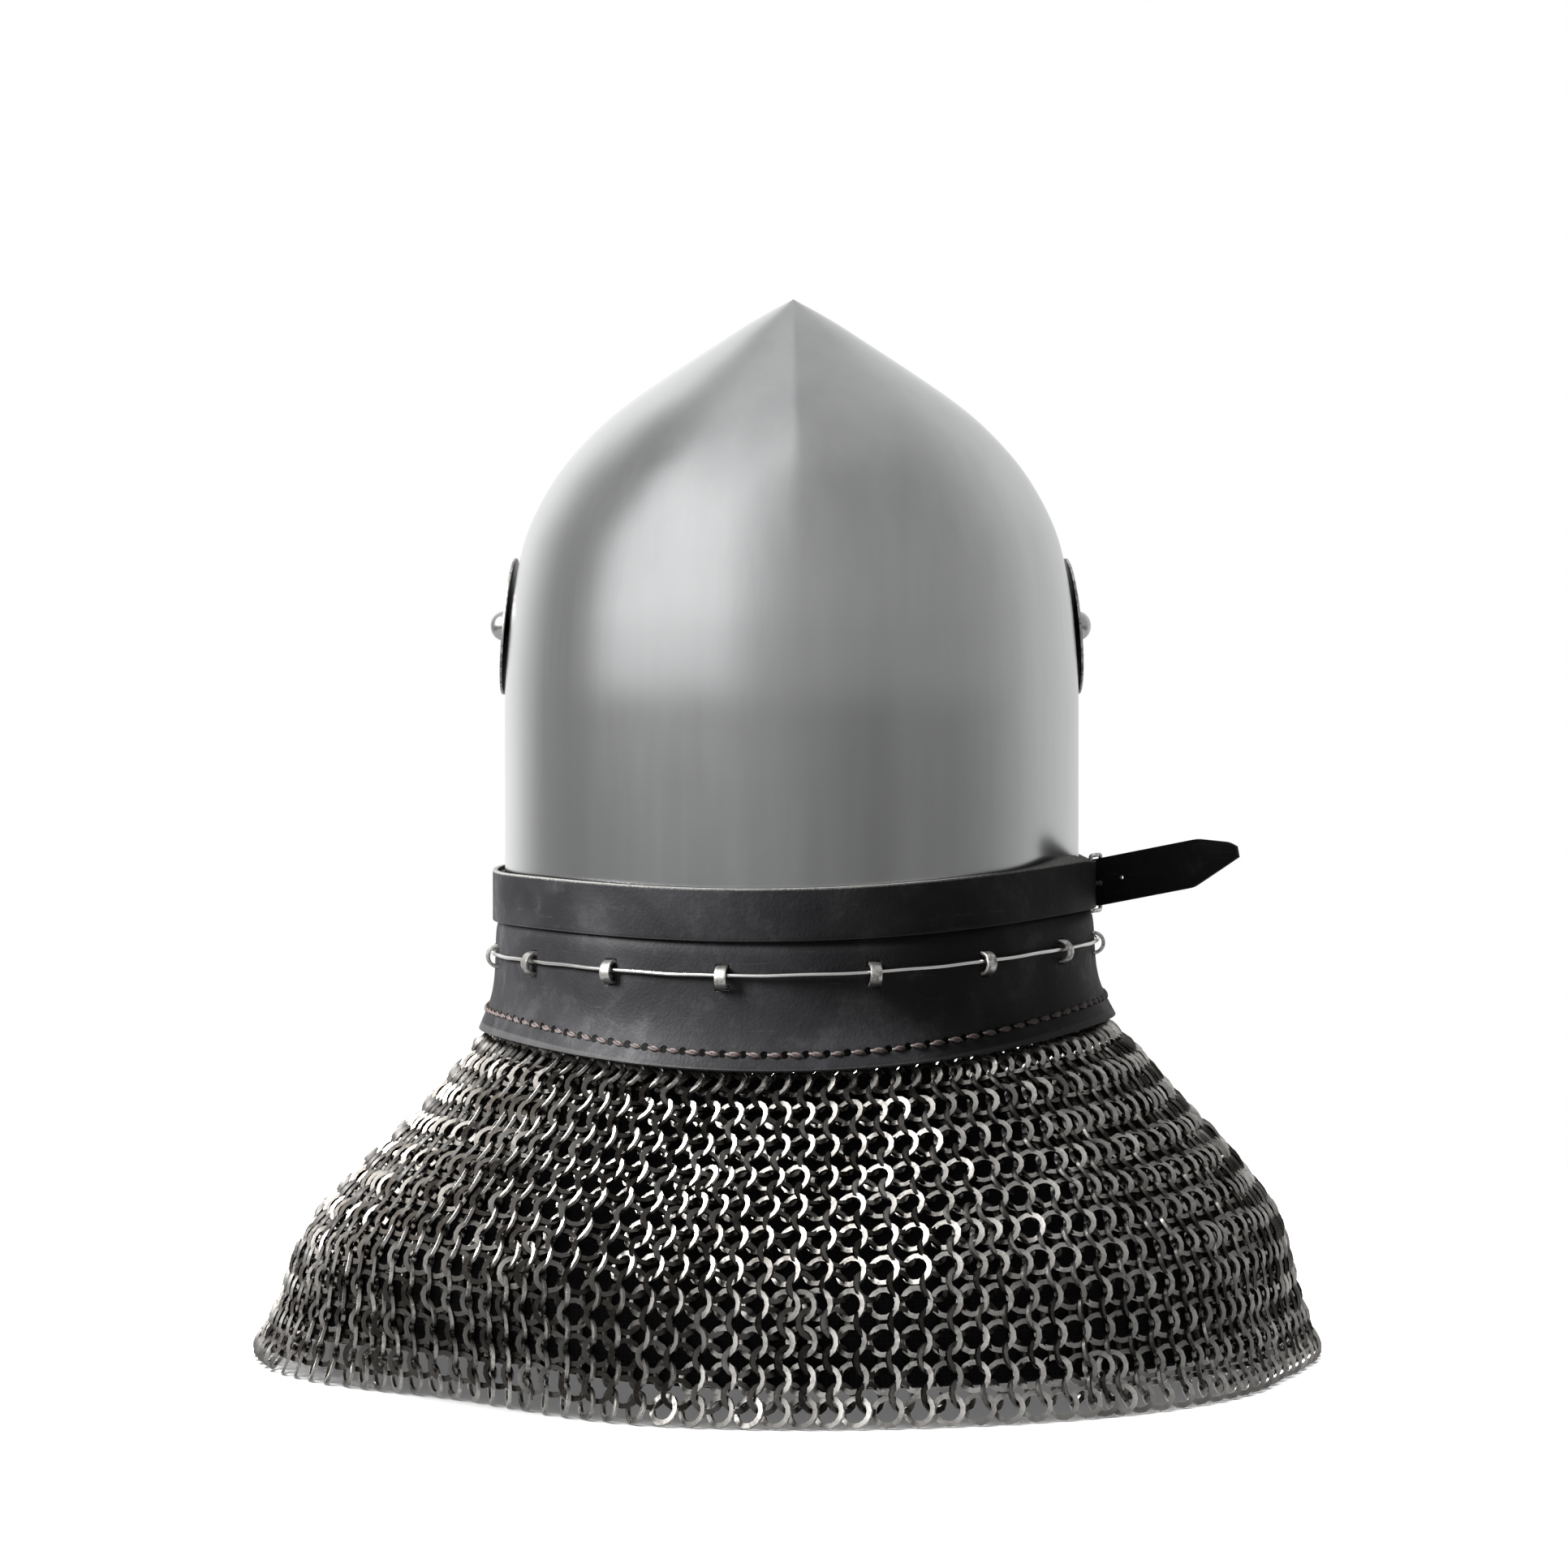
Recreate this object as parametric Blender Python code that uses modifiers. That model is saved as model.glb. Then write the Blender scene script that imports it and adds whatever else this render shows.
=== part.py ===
"""Bascinet with its camail: a pointed steel skull, a leather collar band on staples, a neck strap and a bell of mail.

Metres, +Z up, +Y out of the face opening, +X to the wearer's right. The hem of the mail stands on z = 0, and the
origin is the middle of the whole piece's outline. The sizes below count from the skull's own axis.
"""

import math
from collections import namedtuple

import bmesh
import bpy
import numpy as np
from mathutils import Matrix, Vector

# Running gap between touching pieces
CLEARANCE = 0.0003

# The skull's axis, from the middle of the whole piece's outline on the floor
SKULL_AXIS_X = 0.0019
SKULL_AXIS_Y = -0.0111

# Skull
RIM_HEIGHT = 0.130
SKULL_HEIGHT = 0.2445
DOME_HEIGHT = 0.143
SKULL_HALF_WIDTH = 0.1022
SKULL_BACK_DEPTH = 0.112
SKULL_FRONT_DEPTH = 0.128
APEX_SETBACK = 0.030
SKULL_WALL = 0.002
SECTION_ROUNDNESS = 2.15
RIDGE_SHARE = 0.035
RIDGE_SPREAD = math.radians(20)

# Face opening, measured from the rim
OPENING_FOOT_HALF_WIDTH = 0.064
OPENING_HALF_WIDTH = 0.070
OPENING_SIDE_HEIGHT = 0.075
OPENING_HEIGHT = 0.115

# Leather collar band, measured from the rim
BAND_THICKNESS = 0.002
BAND_ABOVE_RIM = 0.0405
BAND_BELOW_RIM = 0.0198
BAND_SIDE_LIFT = 0.0085
BAND_LIFT_RATE = 1.2
BAND_FLARE = 0.0092
BAND_LEAN = 0.002
COLLAR_SLOPE = 0.022
COLLAR_SIDE_LIFT = 0.0039
COLLAR_LIFT_RATE = 1.35

# Staples round the rim and the wire through them
STAPLE_WIDTH = 0.004
STAPLE_STRIP = 0.0012
STAPLE_OUTER_RADIUS = 0.00415
STAPLE_ABOVE_RIM = 0.0117
STAPLE_PAIRS = 6
FIRST_STAPLE_TURN = math.radians(12.5)
STAPLE_STEP = math.radians(22.5)
WIRE_RADIUS = 0.0007
WIRE_STAND_OFF = 0.0005
WIRE_ABOVE_STAPLE = 0.0009
WIRE_PAST_STAPLE = math.radians(4.5)

# Neck strap, its tongue and the buckle
STRAP_THICKNESS = 0.0018
STRAP_WIDTH = 0.0178
STRAP_ABOVE_RIM = 0.0329
TONGUE_WIDTH = 0.016
TONGUE_FREE_LENGTH = 0.0565
TONGUE_SWING = math.radians(30)
TONGUE_LIFT = math.radians(10.5)
TONGUE_TAPER = 0.0195
TONGUE_HOLE_RADIUS = 0.0012
TONGUE_HOLE_FROM_BUCKLE = 0.011
BUCKLE_WIRE_RADIUS = 0.00075
BUCKLE_LENGTH = 0.0115
BUCKLE_PLAY = 0.0003
BUCKLE_TILT = math.radians(15)
PRONG_RADIUS = 0.0007

# Mail camail and its lining
MAIL_THICKNESS = 0.004
MAIL_TUCK = 0.007
MAIL_HEM_OFFSET = 0.0893
MAIL_LEAN = 0.0018
FOLD_REACH = 0.62
LINING_THICKNESS = 0.0025
LINING_GAP = 0.0005

# Pivot plates and bolts at the temples, rivets at the cheeks
PIVOT_ABOVE_RIM = 0.1297
PLATE_RADIUS = 0.0246
PLATE_THICKNESS = 0.001
PLATE_DISH = 0.0002
BOLT_HEAD_RADIUS = 0.0055
BOLT_HEAD_HEIGHT = 0.006
BOLT_SHANK_RADIUS = 0.003
RIVET_HEAD_RADIUS = 0.004
RIVET_HEAD_HEIGHT = 0.0018
RIVET_SHANK_RADIUS = 0.0015
INNER_HEAD_HEIGHT = 0.0012
INNER_HEAD_GAP = 0.0009

# Turns round the helmet: 0 at the nape, +90 degrees at the wearer's right
COLUMNS = 48
COLUMN_STEP = 2 * math.pi / COLUMNS
BAND_END_COLUMN = 18
STRAP_END_COLUMN = 17
STRAP_LIFT_COLUMN = 9
BUCKLE_TURN = math.radians(88)
PIVOT_TURN = math.radians(95)
RIVET_TURN = math.radians(121)

# Facets of the small round pieces
ROUND_STEPS = 20
ARC_STEPS = 8

DomeSection = namedtuple("DomeSection", "drop width back front")
DOME_SECTIONS = (
    DomeSection(0.00, 0.000, 0.000, 0.000),
    DomeSection(0.05, 0.134, 0.143, 0.110),
    DomeSection(0.10, 0.242, 0.256, 0.203),
    DomeSection(0.15, 0.354, 0.372, 0.303),
    DomeSection(0.30, 0.652, 0.665, 0.570),
    DomeSection(0.45, 0.835, 0.845, 0.762),
    DomeSection(0.60, 0.934, 0.942, 0.888),
    DomeSection(0.80, 0.985, 0.988, 0.970),
    DomeSection(1.00, 1.000, 1.000, 1.000),
    DomeSection(1.20, 1.000, 1.000, 1.000),
)
DOME_ROWS = (0.0, 0.035, 0.09, 0.16, 0.24, 0.33, 0.43, 0.55, 0.69, 0.84, 1.0)
WALL_ROWS = (0.33, 0.66, 1.0)

# The band's flare and its lean to the wearer's right, by its drop from the strap's lower edge
BandSection = namedtuple("BandSection", "drop flare lean")
BAND_SECTIONS = (
    BandSection(0.00, 0.00, 0.00),
    BandSection(0.10, 0.20, 0.50),
    BandSection(0.50, 0.30, 0.62),
    BandSection(0.63, 0.38, 0.68),
    BandSection(0.75, 0.52, 0.76),
    BandSection(0.88, 0.76, 0.87),
    BandSection(1.00, 1.00, 1.00),
)
BAND_ROWS = (0.0, 0.10, 0.50, 0.72, 0.87, 1.0)

# The mail's spread by its drop, and how far it leans to the wearer's right
MailSection = namedtuple("MailSection", "drop spread lean")
MAIL_SECTIONS = (
    MailSection(0.000, 0.000, 0.00),
    MailSection(0.058, 0.023, 0.00),
    MailSection(0.090, 0.066, 0.25),
    MailSection(0.168, 0.180, 0.90),
    MailSection(0.264, 0.300, 1.00),
    MailSection(0.448, 0.575, 1.00),
    MailSection(0.634, 0.793, 0.30),
    MailSection(0.820, 0.885, 0.00),
    MailSection(0.912, 0.943, 0.00),
    MailSection(1.000, 1.000, 0.00),
)
MAIL_ROWS = (0.0, 0.06, 0.11, 0.19, 0.3, 0.43, 0.56, 0.7, 0.88, 1.0)
LINING_ROWS = MAIL_ROWS[1:-1]

# Folds of the hem: turn and half width in degrees, depth as a share of the mail's spread
Fold = namedtuple("Fold", "turn half_width depth")
HEM_FOLDS = (
    Fold(-43, 22, 0.35),
    Fold(8, 50, 0.085),
    Fold(68, 14, 0.08),
    Fold(-96, 12, -0.03),
    Fold(-130, 17, 0.15),
    Fold(117, 18, 0.15),
    Fold(160, 14, 0.12),
)

# The tongue's point: its reach below and above its middle, by the share of the taper still to go
TonguePoint = namedtuple("TonguePoint", "left below above")
TONGUE_POINTS = (
    TonguePoint(1.00, 1.00, 1.00),
    TonguePoint(0.75, 0.78, 1.00),
    TonguePoint(0.13, 0.22, 0.60),
    TonguePoint(0.00, 0.10, 0.36),
)

# The tongue's way through the buckle, in strap thicknesses outward from its line on the band
# and as shares of the buckle's length forward of the hinge bar
TongueBend = namedtuple("TongueBend", "outward forward")
TONGUE_BENDS = (
    TongueBend(0.00, 1.35),
    TongueBend(0.00, 1.00),
    TongueBend(0.22, 0.80),
    TongueBend(0.85, 0.64),
    TongueBend(1.75, 0.54),
)

COLOURS = {
    "steel": ((0.62, 0.63, 0.64), 0.28, 1.0),
    "dark_steel": ((0.10, 0.10, 0.11), 0.35, 1.0),
    "black_plate": ((0.02, 0.02, 0.025), 0.4, 0.6),
    "leather": ((0.028, 0.028, 0.030), 0.6, 0.0),
    "mail": ((0.16, 0.16, 0.165), 0.35, 1.0),
    "lining": ((0.012, 0.012, 0.014), 0.9, 0.0),
}


def smooth_value(table, key, value, at):
    """One column of a table at a place on its key column, as a curve that never overshoots its rows."""
    places = np.array([getattr(row, key) for row in table])
    values = np.array([getattr(row, value) for row in table])
    steps = np.diff(places)
    rises = np.diff(values) / steps
    slopes = np.concatenate(([rises[0]], np.zeros(len(rises) - 1), [rises[-1]]))
    for i in range(1, len(rises)):
        if rises[i - 1] * rises[i] > 0:
            slopes[i] = 2 * rises[i - 1] * rises[i] / (rises[i - 1] + rises[i])
    at = min(max(at, places[0]), places[-1])
    i = min(int(np.searchsorted(places, at, side="right")) - 1, len(steps) - 1)
    t = (at - places[i]) / steps[i]
    start = values[i] * (1 + 2 * t) * (1 - t) ** 2 + slopes[i] * steps[i] * t * (1 - t) ** 2
    end = values[i + 1] * t * t * (3 - 2 * t) - slopes[i + 1] * steps[i] * t * t * (1 - t)
    return float(start + end)


def ease(share):
    """A smooth step from 0 to 1."""
    share = min(max(share, 0.0), 1.0)
    return share * share * (3 - 2 * share)


def column_turns(first, last):
    """The turns of the shared columns from one to another, so that neighbouring walls have parallel facets."""
    return [column * COLUMN_STEP for column in range(first, last + 1)]


def apex_height():
    return RIM_HEIGHT + SKULL_HEIGHT


def skull_point(turn, height):
    """A point of the skull's outer face."""
    drop = (apex_height() - height) / DOME_HEIGHT
    width_share = smooth_value(DOME_SECTIONS, "drop", "width", drop)
    width = SKULL_HALF_WIDTH * width_share
    middle = -APEX_SETBACK * (1 - width_share)
    nape = -APEX_SETBACK - (SKULL_BACK_DEPTH - APEX_SETBACK) * smooth_value(DOME_SECTIONS, "drop", "back", drop)
    brow = -APEX_SETBACK + (SKULL_FRONT_DEPTH + APEX_SETBACK) * smooth_value(DOME_SECTIONS, "drop", "front", drop)
    side, ahead = math.sin(turn), -math.cos(turn)
    depth = brow - middle if ahead > 0 else middle - nape
    from_ridge = math.atan2(abs(side), abs(ahead))
    ridge = max(0.0, 1 - from_ridge / RIDGE_SPREAD) ** 2 * max(0.0, 1 - drop) ** 2
    depth *= 1 + RIDGE_SHARE * ridge
    power = 2 / SECTION_ROUNDNESS
    return Vector((
        width * math.copysign(abs(side) ** power, side),
        middle + depth * math.copysign(abs(ahead) ** power, ahead),
        height,
    ))


def outward(turn):
    """The level direction straight out of the skull's lower wall."""
    nudge = 0.01
    along = skull_point(turn + nudge, RIM_HEIGHT) - skull_point(turn - nudge, RIM_HEIGHT)
    return Vector((along.y, -along.x, 0)).normalized()


def around(turn, offset, height):
    """A point outside the skull's lower wall, at a height that follows the collar's slight slope."""
    place = skull_point(turn, RIM_HEIGHT) + outward(turn) * offset
    place.z = height + COLLAR_SLOPE * place.x
    return place


def skull_normal(turn, height):
    nudge = 0.002
    along = skull_point(turn + nudge, height) - skull_point(turn - nudge, height)
    up = skull_point(turn, height + nudge) - skull_point(turn, height - nudge)
    return along.cross(up).normalized()


def side_lift(turn, rate):
    """A rise from 0 at the nape to 1 at the sides, level from there to the face."""
    from_nape = abs((turn + math.pi) % (2 * math.pi) - math.pi)
    return math.sin(min(rate * from_nape, math.pi / 2)) ** 2


def collar_height(turn, above_rim):
    """The height of a line of the collar, which dips at the nape."""
    return RIM_HEIGHT + above_rim + COLLAR_SIDE_LIFT * side_lift(turn, COLLAR_LIFT_RATE)


def band_bottom(turn):
    """The band's lower edge, which dips more than the rest of the collar."""
    return RIM_HEIGHT - BAND_BELOW_RIM + BAND_SIDE_LIFT * side_lift(turn, BAND_LIFT_RATE)


def strap_foot(turn):
    """The lowest line of the strap, above which the band lies flat on the skull."""
    return collar_height(turn, STRAP_ABOVE_RIM - STRAP_WIDTH / 2 - CLEARANCE)


def band_offset(turn, height):
    """How far the band's inner face stands outside the skull."""
    drop = (strap_foot(turn) - height) / (strap_foot(turn) - band_bottom(turn))
    flare = BAND_FLARE * smooth_value(BAND_SECTIONS, "drop", "flare", drop)
    lean = BAND_LEAN * smooth_value(BAND_SECTIONS, "drop", "lean", drop)
    return CLEARANCE + max(0.0, flare + lean * math.sin(turn))


def band_point(turn, row):
    """A point of the band's inner face, in a row counted from its lower edge."""
    height = collar_height(turn, BAND_ABOVE_RIM)
    if row < len(BAND_ROWS):
        height = strap_foot(turn) - BAND_ROWS[-1 - row] * (strap_foot(turn) - band_bottom(turn))
    return around(turn, band_offset(turn, height), height)


def strap_line():
    """How far outside the skull the middle of the strap lies, over the band."""
    return CLEARANCE + BAND_THICKNESS + CLEARANCE + STRAP_THICKNESS / 2


def strap_height(turn):
    return collar_height(turn, STRAP_ABOVE_RIM)


def camail_point(turn, drop):
    """A point of the mail's outer face, from its top edge behind the band to its hem on the floor."""
    top_height = band_bottom(turn) + MAIL_TUCK
    top_offset = band_offset(turn, top_height) - 2 * CLEARANCE
    full_spread = MAIL_HEM_OFFSET - top_offset
    spread = smooth_value(MAIL_SECTIONS, "drop", "spread", drop)
    deepening = max(0.0, (drop - 1 + FOLD_REACH) / FOLD_REACH) ** 1.5
    for fold in HEM_FOLDS:
        away = (math.degrees(turn) - fold.turn + 180) % 360 - 180
        spread -= fold.depth * deepening * math.exp(-((away / fold.half_width) ** 2))
    place = around(turn, top_offset + full_spread * spread, top_height)
    place.z = around(turn, top_offset, top_height).z * (1 - drop)
    place.x += MAIL_LEAN * smooth_value(MAIL_SECTIONS, "drop", "lean", drop)
    return place


def make_collection(name, shown=True):
    collection = bpy.data.collections.new(name)
    bpy.context.scene.collection.children.link(collection)
    collection.hide_render = not shown
    return collection


def make_material(name):
    colour, roughness, metallic = COLOURS[name]
    material = bpy.data.materials.new(name)
    material.use_nodes = True
    shader = material.node_tree.nodes["Principled BSDF"]
    shader.inputs["Base Color"].default_value = (*colour, 1)
    shader.inputs["Roughness"].default_value = roughness
    shader.inputs["Metallic"].default_value = metallic
    return material


def add_object(name, data, material=None, collection=None):
    piece = bpy.data.objects.new(name, data)
    (collection or bpy.data.collections["bascinet"]).objects.link(piece)
    if material:
        piece.data.materials.append(bpy.data.materials[material])
    if collection is None:
        piece.parent = bpy.data.objects["bascinet_origin"]
    return piece


def sheet(name, columns, rows, place, material):
    """An open surface: a grid whose corner in column i and row j goes to place(i, j). Its face is to the outside
    where i runs anticlockwise from above and j runs up."""
    mesh = bpy.data.meshes.new(name)
    shape = bmesh.new()
    bmesh.ops.create_grid(shape, x_segments=columns, y_segments=rows, size=0.5)
    for corner in shape.verts:
        i = round((corner.co.x + 0.5) * columns)
        j = round((corner.co.y + 0.5) * rows)
        corner.co = place(i, j)
    bmesh.ops.remove_doubles(shape, verts=shape.verts, dist=1e-6)
    shape.to_mesh(mesh)
    shape.free()
    return add_object(name, mesh, material)


def solidify(piece, thickness, side):
    """Gives a surface its wall: side 1 adds it outward, -1 inward and 0 on both sides."""
    wall = piece.modifiers.new("wall", "SOLIDIFY")
    wall.thickness = thickness
    wall.offset = side
    return piece


def subtract(piece, cutter):
    cut = piece.modifiers.new(cutter.name, "BOOLEAN")
    cut.operation = "DIFFERENCE"
    cut.solver = "EXACT"
    cut.object = cutter


def as_cutter(piece):
    """Moves a helper to the cutters' collection, out of the build."""
    for collection in list(piece.users_collection):
        collection.objects.unlink(piece)
    bpy.data.collections["cutters"].objects.link(piece)
    piece.hide_render = True
    piece.display_type = "WIRE"
    return piece


def meshed(piece):
    """The same object as a welded mesh, for a curve that is cut or that cuts."""
    bpy.context.view_layer.update()
    graph = bpy.context.evaluated_depsgraph_get()
    mesh = bpy.data.meshes.new_from_object(piece.evaluated_get(graph))
    shape = bmesh.new()
    shape.from_mesh(mesh)
    bmesh.ops.remove_doubles(shape, verts=shape.verts, dist=1e-6)
    bmesh.ops.recalc_face_normals(shape, faces=shape.faces)
    shape.to_mesh(mesh)
    shape.free()
    name, matrix, parent = piece.name, piece.matrix_world.copy(), piece.parent
    materials = list(piece.data.materials)
    bpy.data.objects.remove(piece)
    copy = add_object(name, mesh)
    copy.parent = parent
    copy.matrix_world = matrix
    if not mesh.materials:
        for material in materials:
            mesh.materials.append(material)
    return copy


def outline_plate(name, outline, thickness, material=None):
    """A flat plate in its own XY plane, centred on it."""
    curve = bpy.data.curves.new(name, "CURVE")
    curve.dimensions = "2D"
    curve.fill_mode = "BOTH"
    curve.extrude = thickness / 2
    spline = curve.splines.new("POLY")
    spline.points.add(len(outline) - 1)
    for point, (x, y) in zip(spline.points, outline):
        point.co = (x, y, 0, 1)
    spline.use_cyclic_u = True
    return add_object(name, curve, material)


def rod(name, route, radius, material, closed=False):
    """A round wire along a route."""
    curve = bpy.data.curves.new(name, "CURVE")
    curve.dimensions = "3D"
    curve.bevel_depth = radius
    curve.bevel_resolution = 1
    curve.use_fill_caps = not closed
    spline = curve.splines.new("POLY")
    spline.points.add(len(route) - 1)
    for point, place in zip(spline.points, route):
        point.co = (*place, 1)
    spline.use_cyclic_u = closed
    return add_object(name, curve, material)


def turned(name, profile, material, matrix):
    """A shape turned about its own Z axis. The profile runs down its outer side, at +X."""
    mesh = bpy.data.meshes.new(name)
    shape = bmesh.new()
    corners = [shape.verts.new((x, 0, z)) for x, z in profile]
    pairs = list(zip(corners, corners[1:]))
    if profile[0][0] > 0:
        pairs.append((corners[-1], corners[0]))
    for pair in pairs:
        shape.edges.new(pair)
    shape.to_mesh(mesh)
    shape.free()
    piece = add_object(name, mesh, material)
    piece.matrix_world = matrix
    screw = piece.modifiers.new("turn", "SCREW")
    screw.steps = screw.render_steps = ROUND_STEPS
    screw.use_merge_vertices = True
    screw.merge_threshold = 1e-5
    screw.use_smooth_shade = True
    return piece


def box_cutter(name, size, matrix):
    mesh = bpy.data.meshes.new(name)
    shape = bmesh.new()
    bmesh.ops.create_cube(shape, size=1, matrix=Matrix.Diagonal((*size, 1)))
    shape.to_mesh(mesh)
    shape.free()
    cutter = add_object(name, mesh)
    cutter.matrix_world = matrix
    return as_cutter(cutter)


def hole_cutter(name, radius, length, matrix):
    """A round cutter centred on its own Z axis."""
    mesh = bpy.data.meshes.new(name)
    shape = bmesh.new()
    bmesh.ops.create_cone(
        shape, cap_ends=True, segments=ROUND_STEPS, radius1=radius, radius2=radius, depth=length
    )
    shape.to_mesh(mesh)
    shape.free()
    cutter = add_object(name, mesh)
    cutter.matrix_world = matrix
    return as_cutter(cutter)


def stand_on(place, axis, upright=Vector((0, 0, 1))):
    """A frame at a place, with its own Z along the axis and its own Y as near the upright as it can be."""
    own_z = axis.normalized()
    own_x = upright.cross(own_z).normalized()
    own_y = own_z.cross(own_x)
    frame = Matrix((own_x, own_y, own_z)).transposed().to_4x4()
    frame.translation = place
    return frame


def make_skull():
    """The shell, with its arched face opening."""
    heights = [RIM_HEIGHT + (SKULL_HEIGHT - DOME_HEIGHT) * (1 - share) for share in reversed(WALL_ROWS)]
    heights += [apex_height() - DOME_HEIGHT * share for share in reversed(DOME_ROWS)]
    skull = sheet(
        "skull", COLUMNS, len(heights) - 1, lambda i, j: skull_point(i * COLUMN_STEP, heights[j]), "steel"
    )
    solidify(skull, SKULL_WALL, -1)

    spring = RIM_HEIGHT + OPENING_SIDE_HEIGHT
    below = RIM_HEIGHT - SKULL_WALL * 5
    arch_rise = OPENING_HEIGHT - OPENING_SIDE_HEIGHT
    outline = [(-OPENING_FOOT_HALF_WIDTH, below), (OPENING_FOOT_HALF_WIDTH, below)]
    for step in range(2 * ARC_STEPS + 1):
        angle = math.pi * step / (2 * ARC_STEPS)
        outline.append((OPENING_HALF_WIDTH * math.cos(angle), spring + arch_rise * math.sin(angle)))
    deep = SKULL_FRONT_DEPTH * 2
    opening = outline_plate("face_opening_cutter", outline, deep)
    opening.matrix_world = Matrix.Translation((0, deep / 2, 0)) @ Matrix.Rotation(math.pi / 2, 4, "X")
    subtract(skull, as_cutter(meshed(opening)))
    return skull


def staple_turns():
    turns = [FIRST_STAPLE_TURN + pair * STAPLE_STEP for pair in range(STAPLE_PAIRS)]
    return sorted([-turn for turn in turns] + turns)


def staple_height(turn):
    return collar_height(turn, STAPLE_ABOVE_RIM)


def leather_face(turn, below=0.0):
    """How far the band's outer face stands outside the skull at the staples, or some way below them."""
    return band_offset(turn, staple_height(turn) - below) + BAND_THICKNESS


def make_band():
    """The collar band, with a slot for each staple."""
    turns = column_turns(-BAND_END_COLUMN, BAND_END_COLUMN)
    band = sheet(
        "collar_band", len(turns) - 1, len(BAND_ROWS), lambda i, j: band_point(turns[i], j), "leather"
    )
    solidify(band, BAND_THICKNESS, 1)
    for number, turn in enumerate(staple_turns(), 1):
        middle = around(turn, leather_face(turn), staple_height(turn))
        size = (
            STAPLE_WIDTH + 2 * CLEARANCE,
            2 * (STAPLE_OUTER_RADIUS + CLEARANCE),
            6 * BAND_THICKNESS,
        )
        subtract(band, box_cutter(f"staple_slot_cutter_{number:02d}", size, stand_on(middle, outward(turn))))
    return band


def make_staple(number, turn):
    """A flat strip bent to a U, its legs through the band and its bow standing outside it."""
    face = leather_face(turn)
    seat = CLEARANCE - face
    bow = STAPLE_OUTER_RADIUS
    inner_bow = bow - STAPLE_STRIP
    arc = [math.pi / 2 - math.pi * step / ARC_STEPS for step in range(ARC_STEPS + 1)]
    outline = [(seat, bow)]
    outline += [(bow * math.cos(angle), bow * math.sin(angle)) for angle in arc]
    outline += [(seat, -bow), (seat, -inner_bow)]
    outline += [(inner_bow * math.cos(angle), inner_bow * math.sin(angle)) for angle in reversed(arc)]
    outline += [(seat, inner_bow)]
    staple = outline_plate(f"staple_{number:02d}", outline, STAPLE_WIDTH, "dark_steel")
    out = outward(turn)
    up = Vector((0, 0, 1))
    frame = Matrix((out, up, out.cross(up))).transposed().to_4x4()
    frame.translation = around(turn, face, staple_height(turn))
    staple.matrix_world = frame
    return staple


def make_wire():
    """The wire that runs through the bows of the staples, with its ends bent down."""
    end = staple_turns()[-1] + WIRE_PAST_STAPLE
    turns = [-end] + [turn for turn in column_turns(-BAND_END_COLUMN, BAND_END_COLUMN) if abs(turn) < end] + [end]
    stand_off = WIRE_STAND_OFF + WIRE_RADIUS

    def wire_place(turn, below=0.0):
        return around(turn, leather_face(turn, below) + stand_off, staple_height(turn) + WIRE_ABOVE_STAPLE - below)

    tail = STAPLE_OUTER_RADIUS
    route = [wire_place(turns[0], tail)] + [wire_place(turn) for turn in turns] + [wire_place(turns[-1], tail)]
    return rod("lacing_wire", route, WIRE_RADIUS, "steel")


def ribbon(name, stations, thickness, material):
    """A strap on edge: each station is its middle, and its reach below and above it."""
    places = [station[0] for station in stations]

    def corner(i, j):
        before, after = places[max(i - 1, 0)], places[min(i + 1, len(places) - 1)]
        along = (after - before).normalized()
        across = (Vector((0, 0, 1)) - along * along.z).normalized()
        below, above = stations[i][1:]
        return places[i] + across * (above if j else -below)

    strap = sheet(name, len(stations) - 1, 1, corner, material)
    return solidify(strap, thickness, 0)


def bar_offset():
    """How far outside the skull the buckle's hinge bar lies, inside the strap's fold."""
    return strap_line() + fold_radius()


def fold_radius():
    return BUCKLE_WIRE_RADIUS + CLEARANCE + STRAP_THICKNESS / 2


def buckle_frame_matrix():
    """The buckle's own frame: X forward along the girth, Y up and Z outward, at the middle of the hinge bar."""
    out = outward(BUCKLE_TURN)
    return stand_on(around(BUCKLE_TURN, bar_offset(), strap_height(BUCKLE_TURN)), out)


def tilted_buckle_matrix():
    """The same frame with its front turned outward about the hinge bar, as the pulled strap holds the buckle."""
    return buckle_frame_matrix() @ Matrix.Rotation(-BUCKLE_TILT, 4, "Y")


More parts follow.
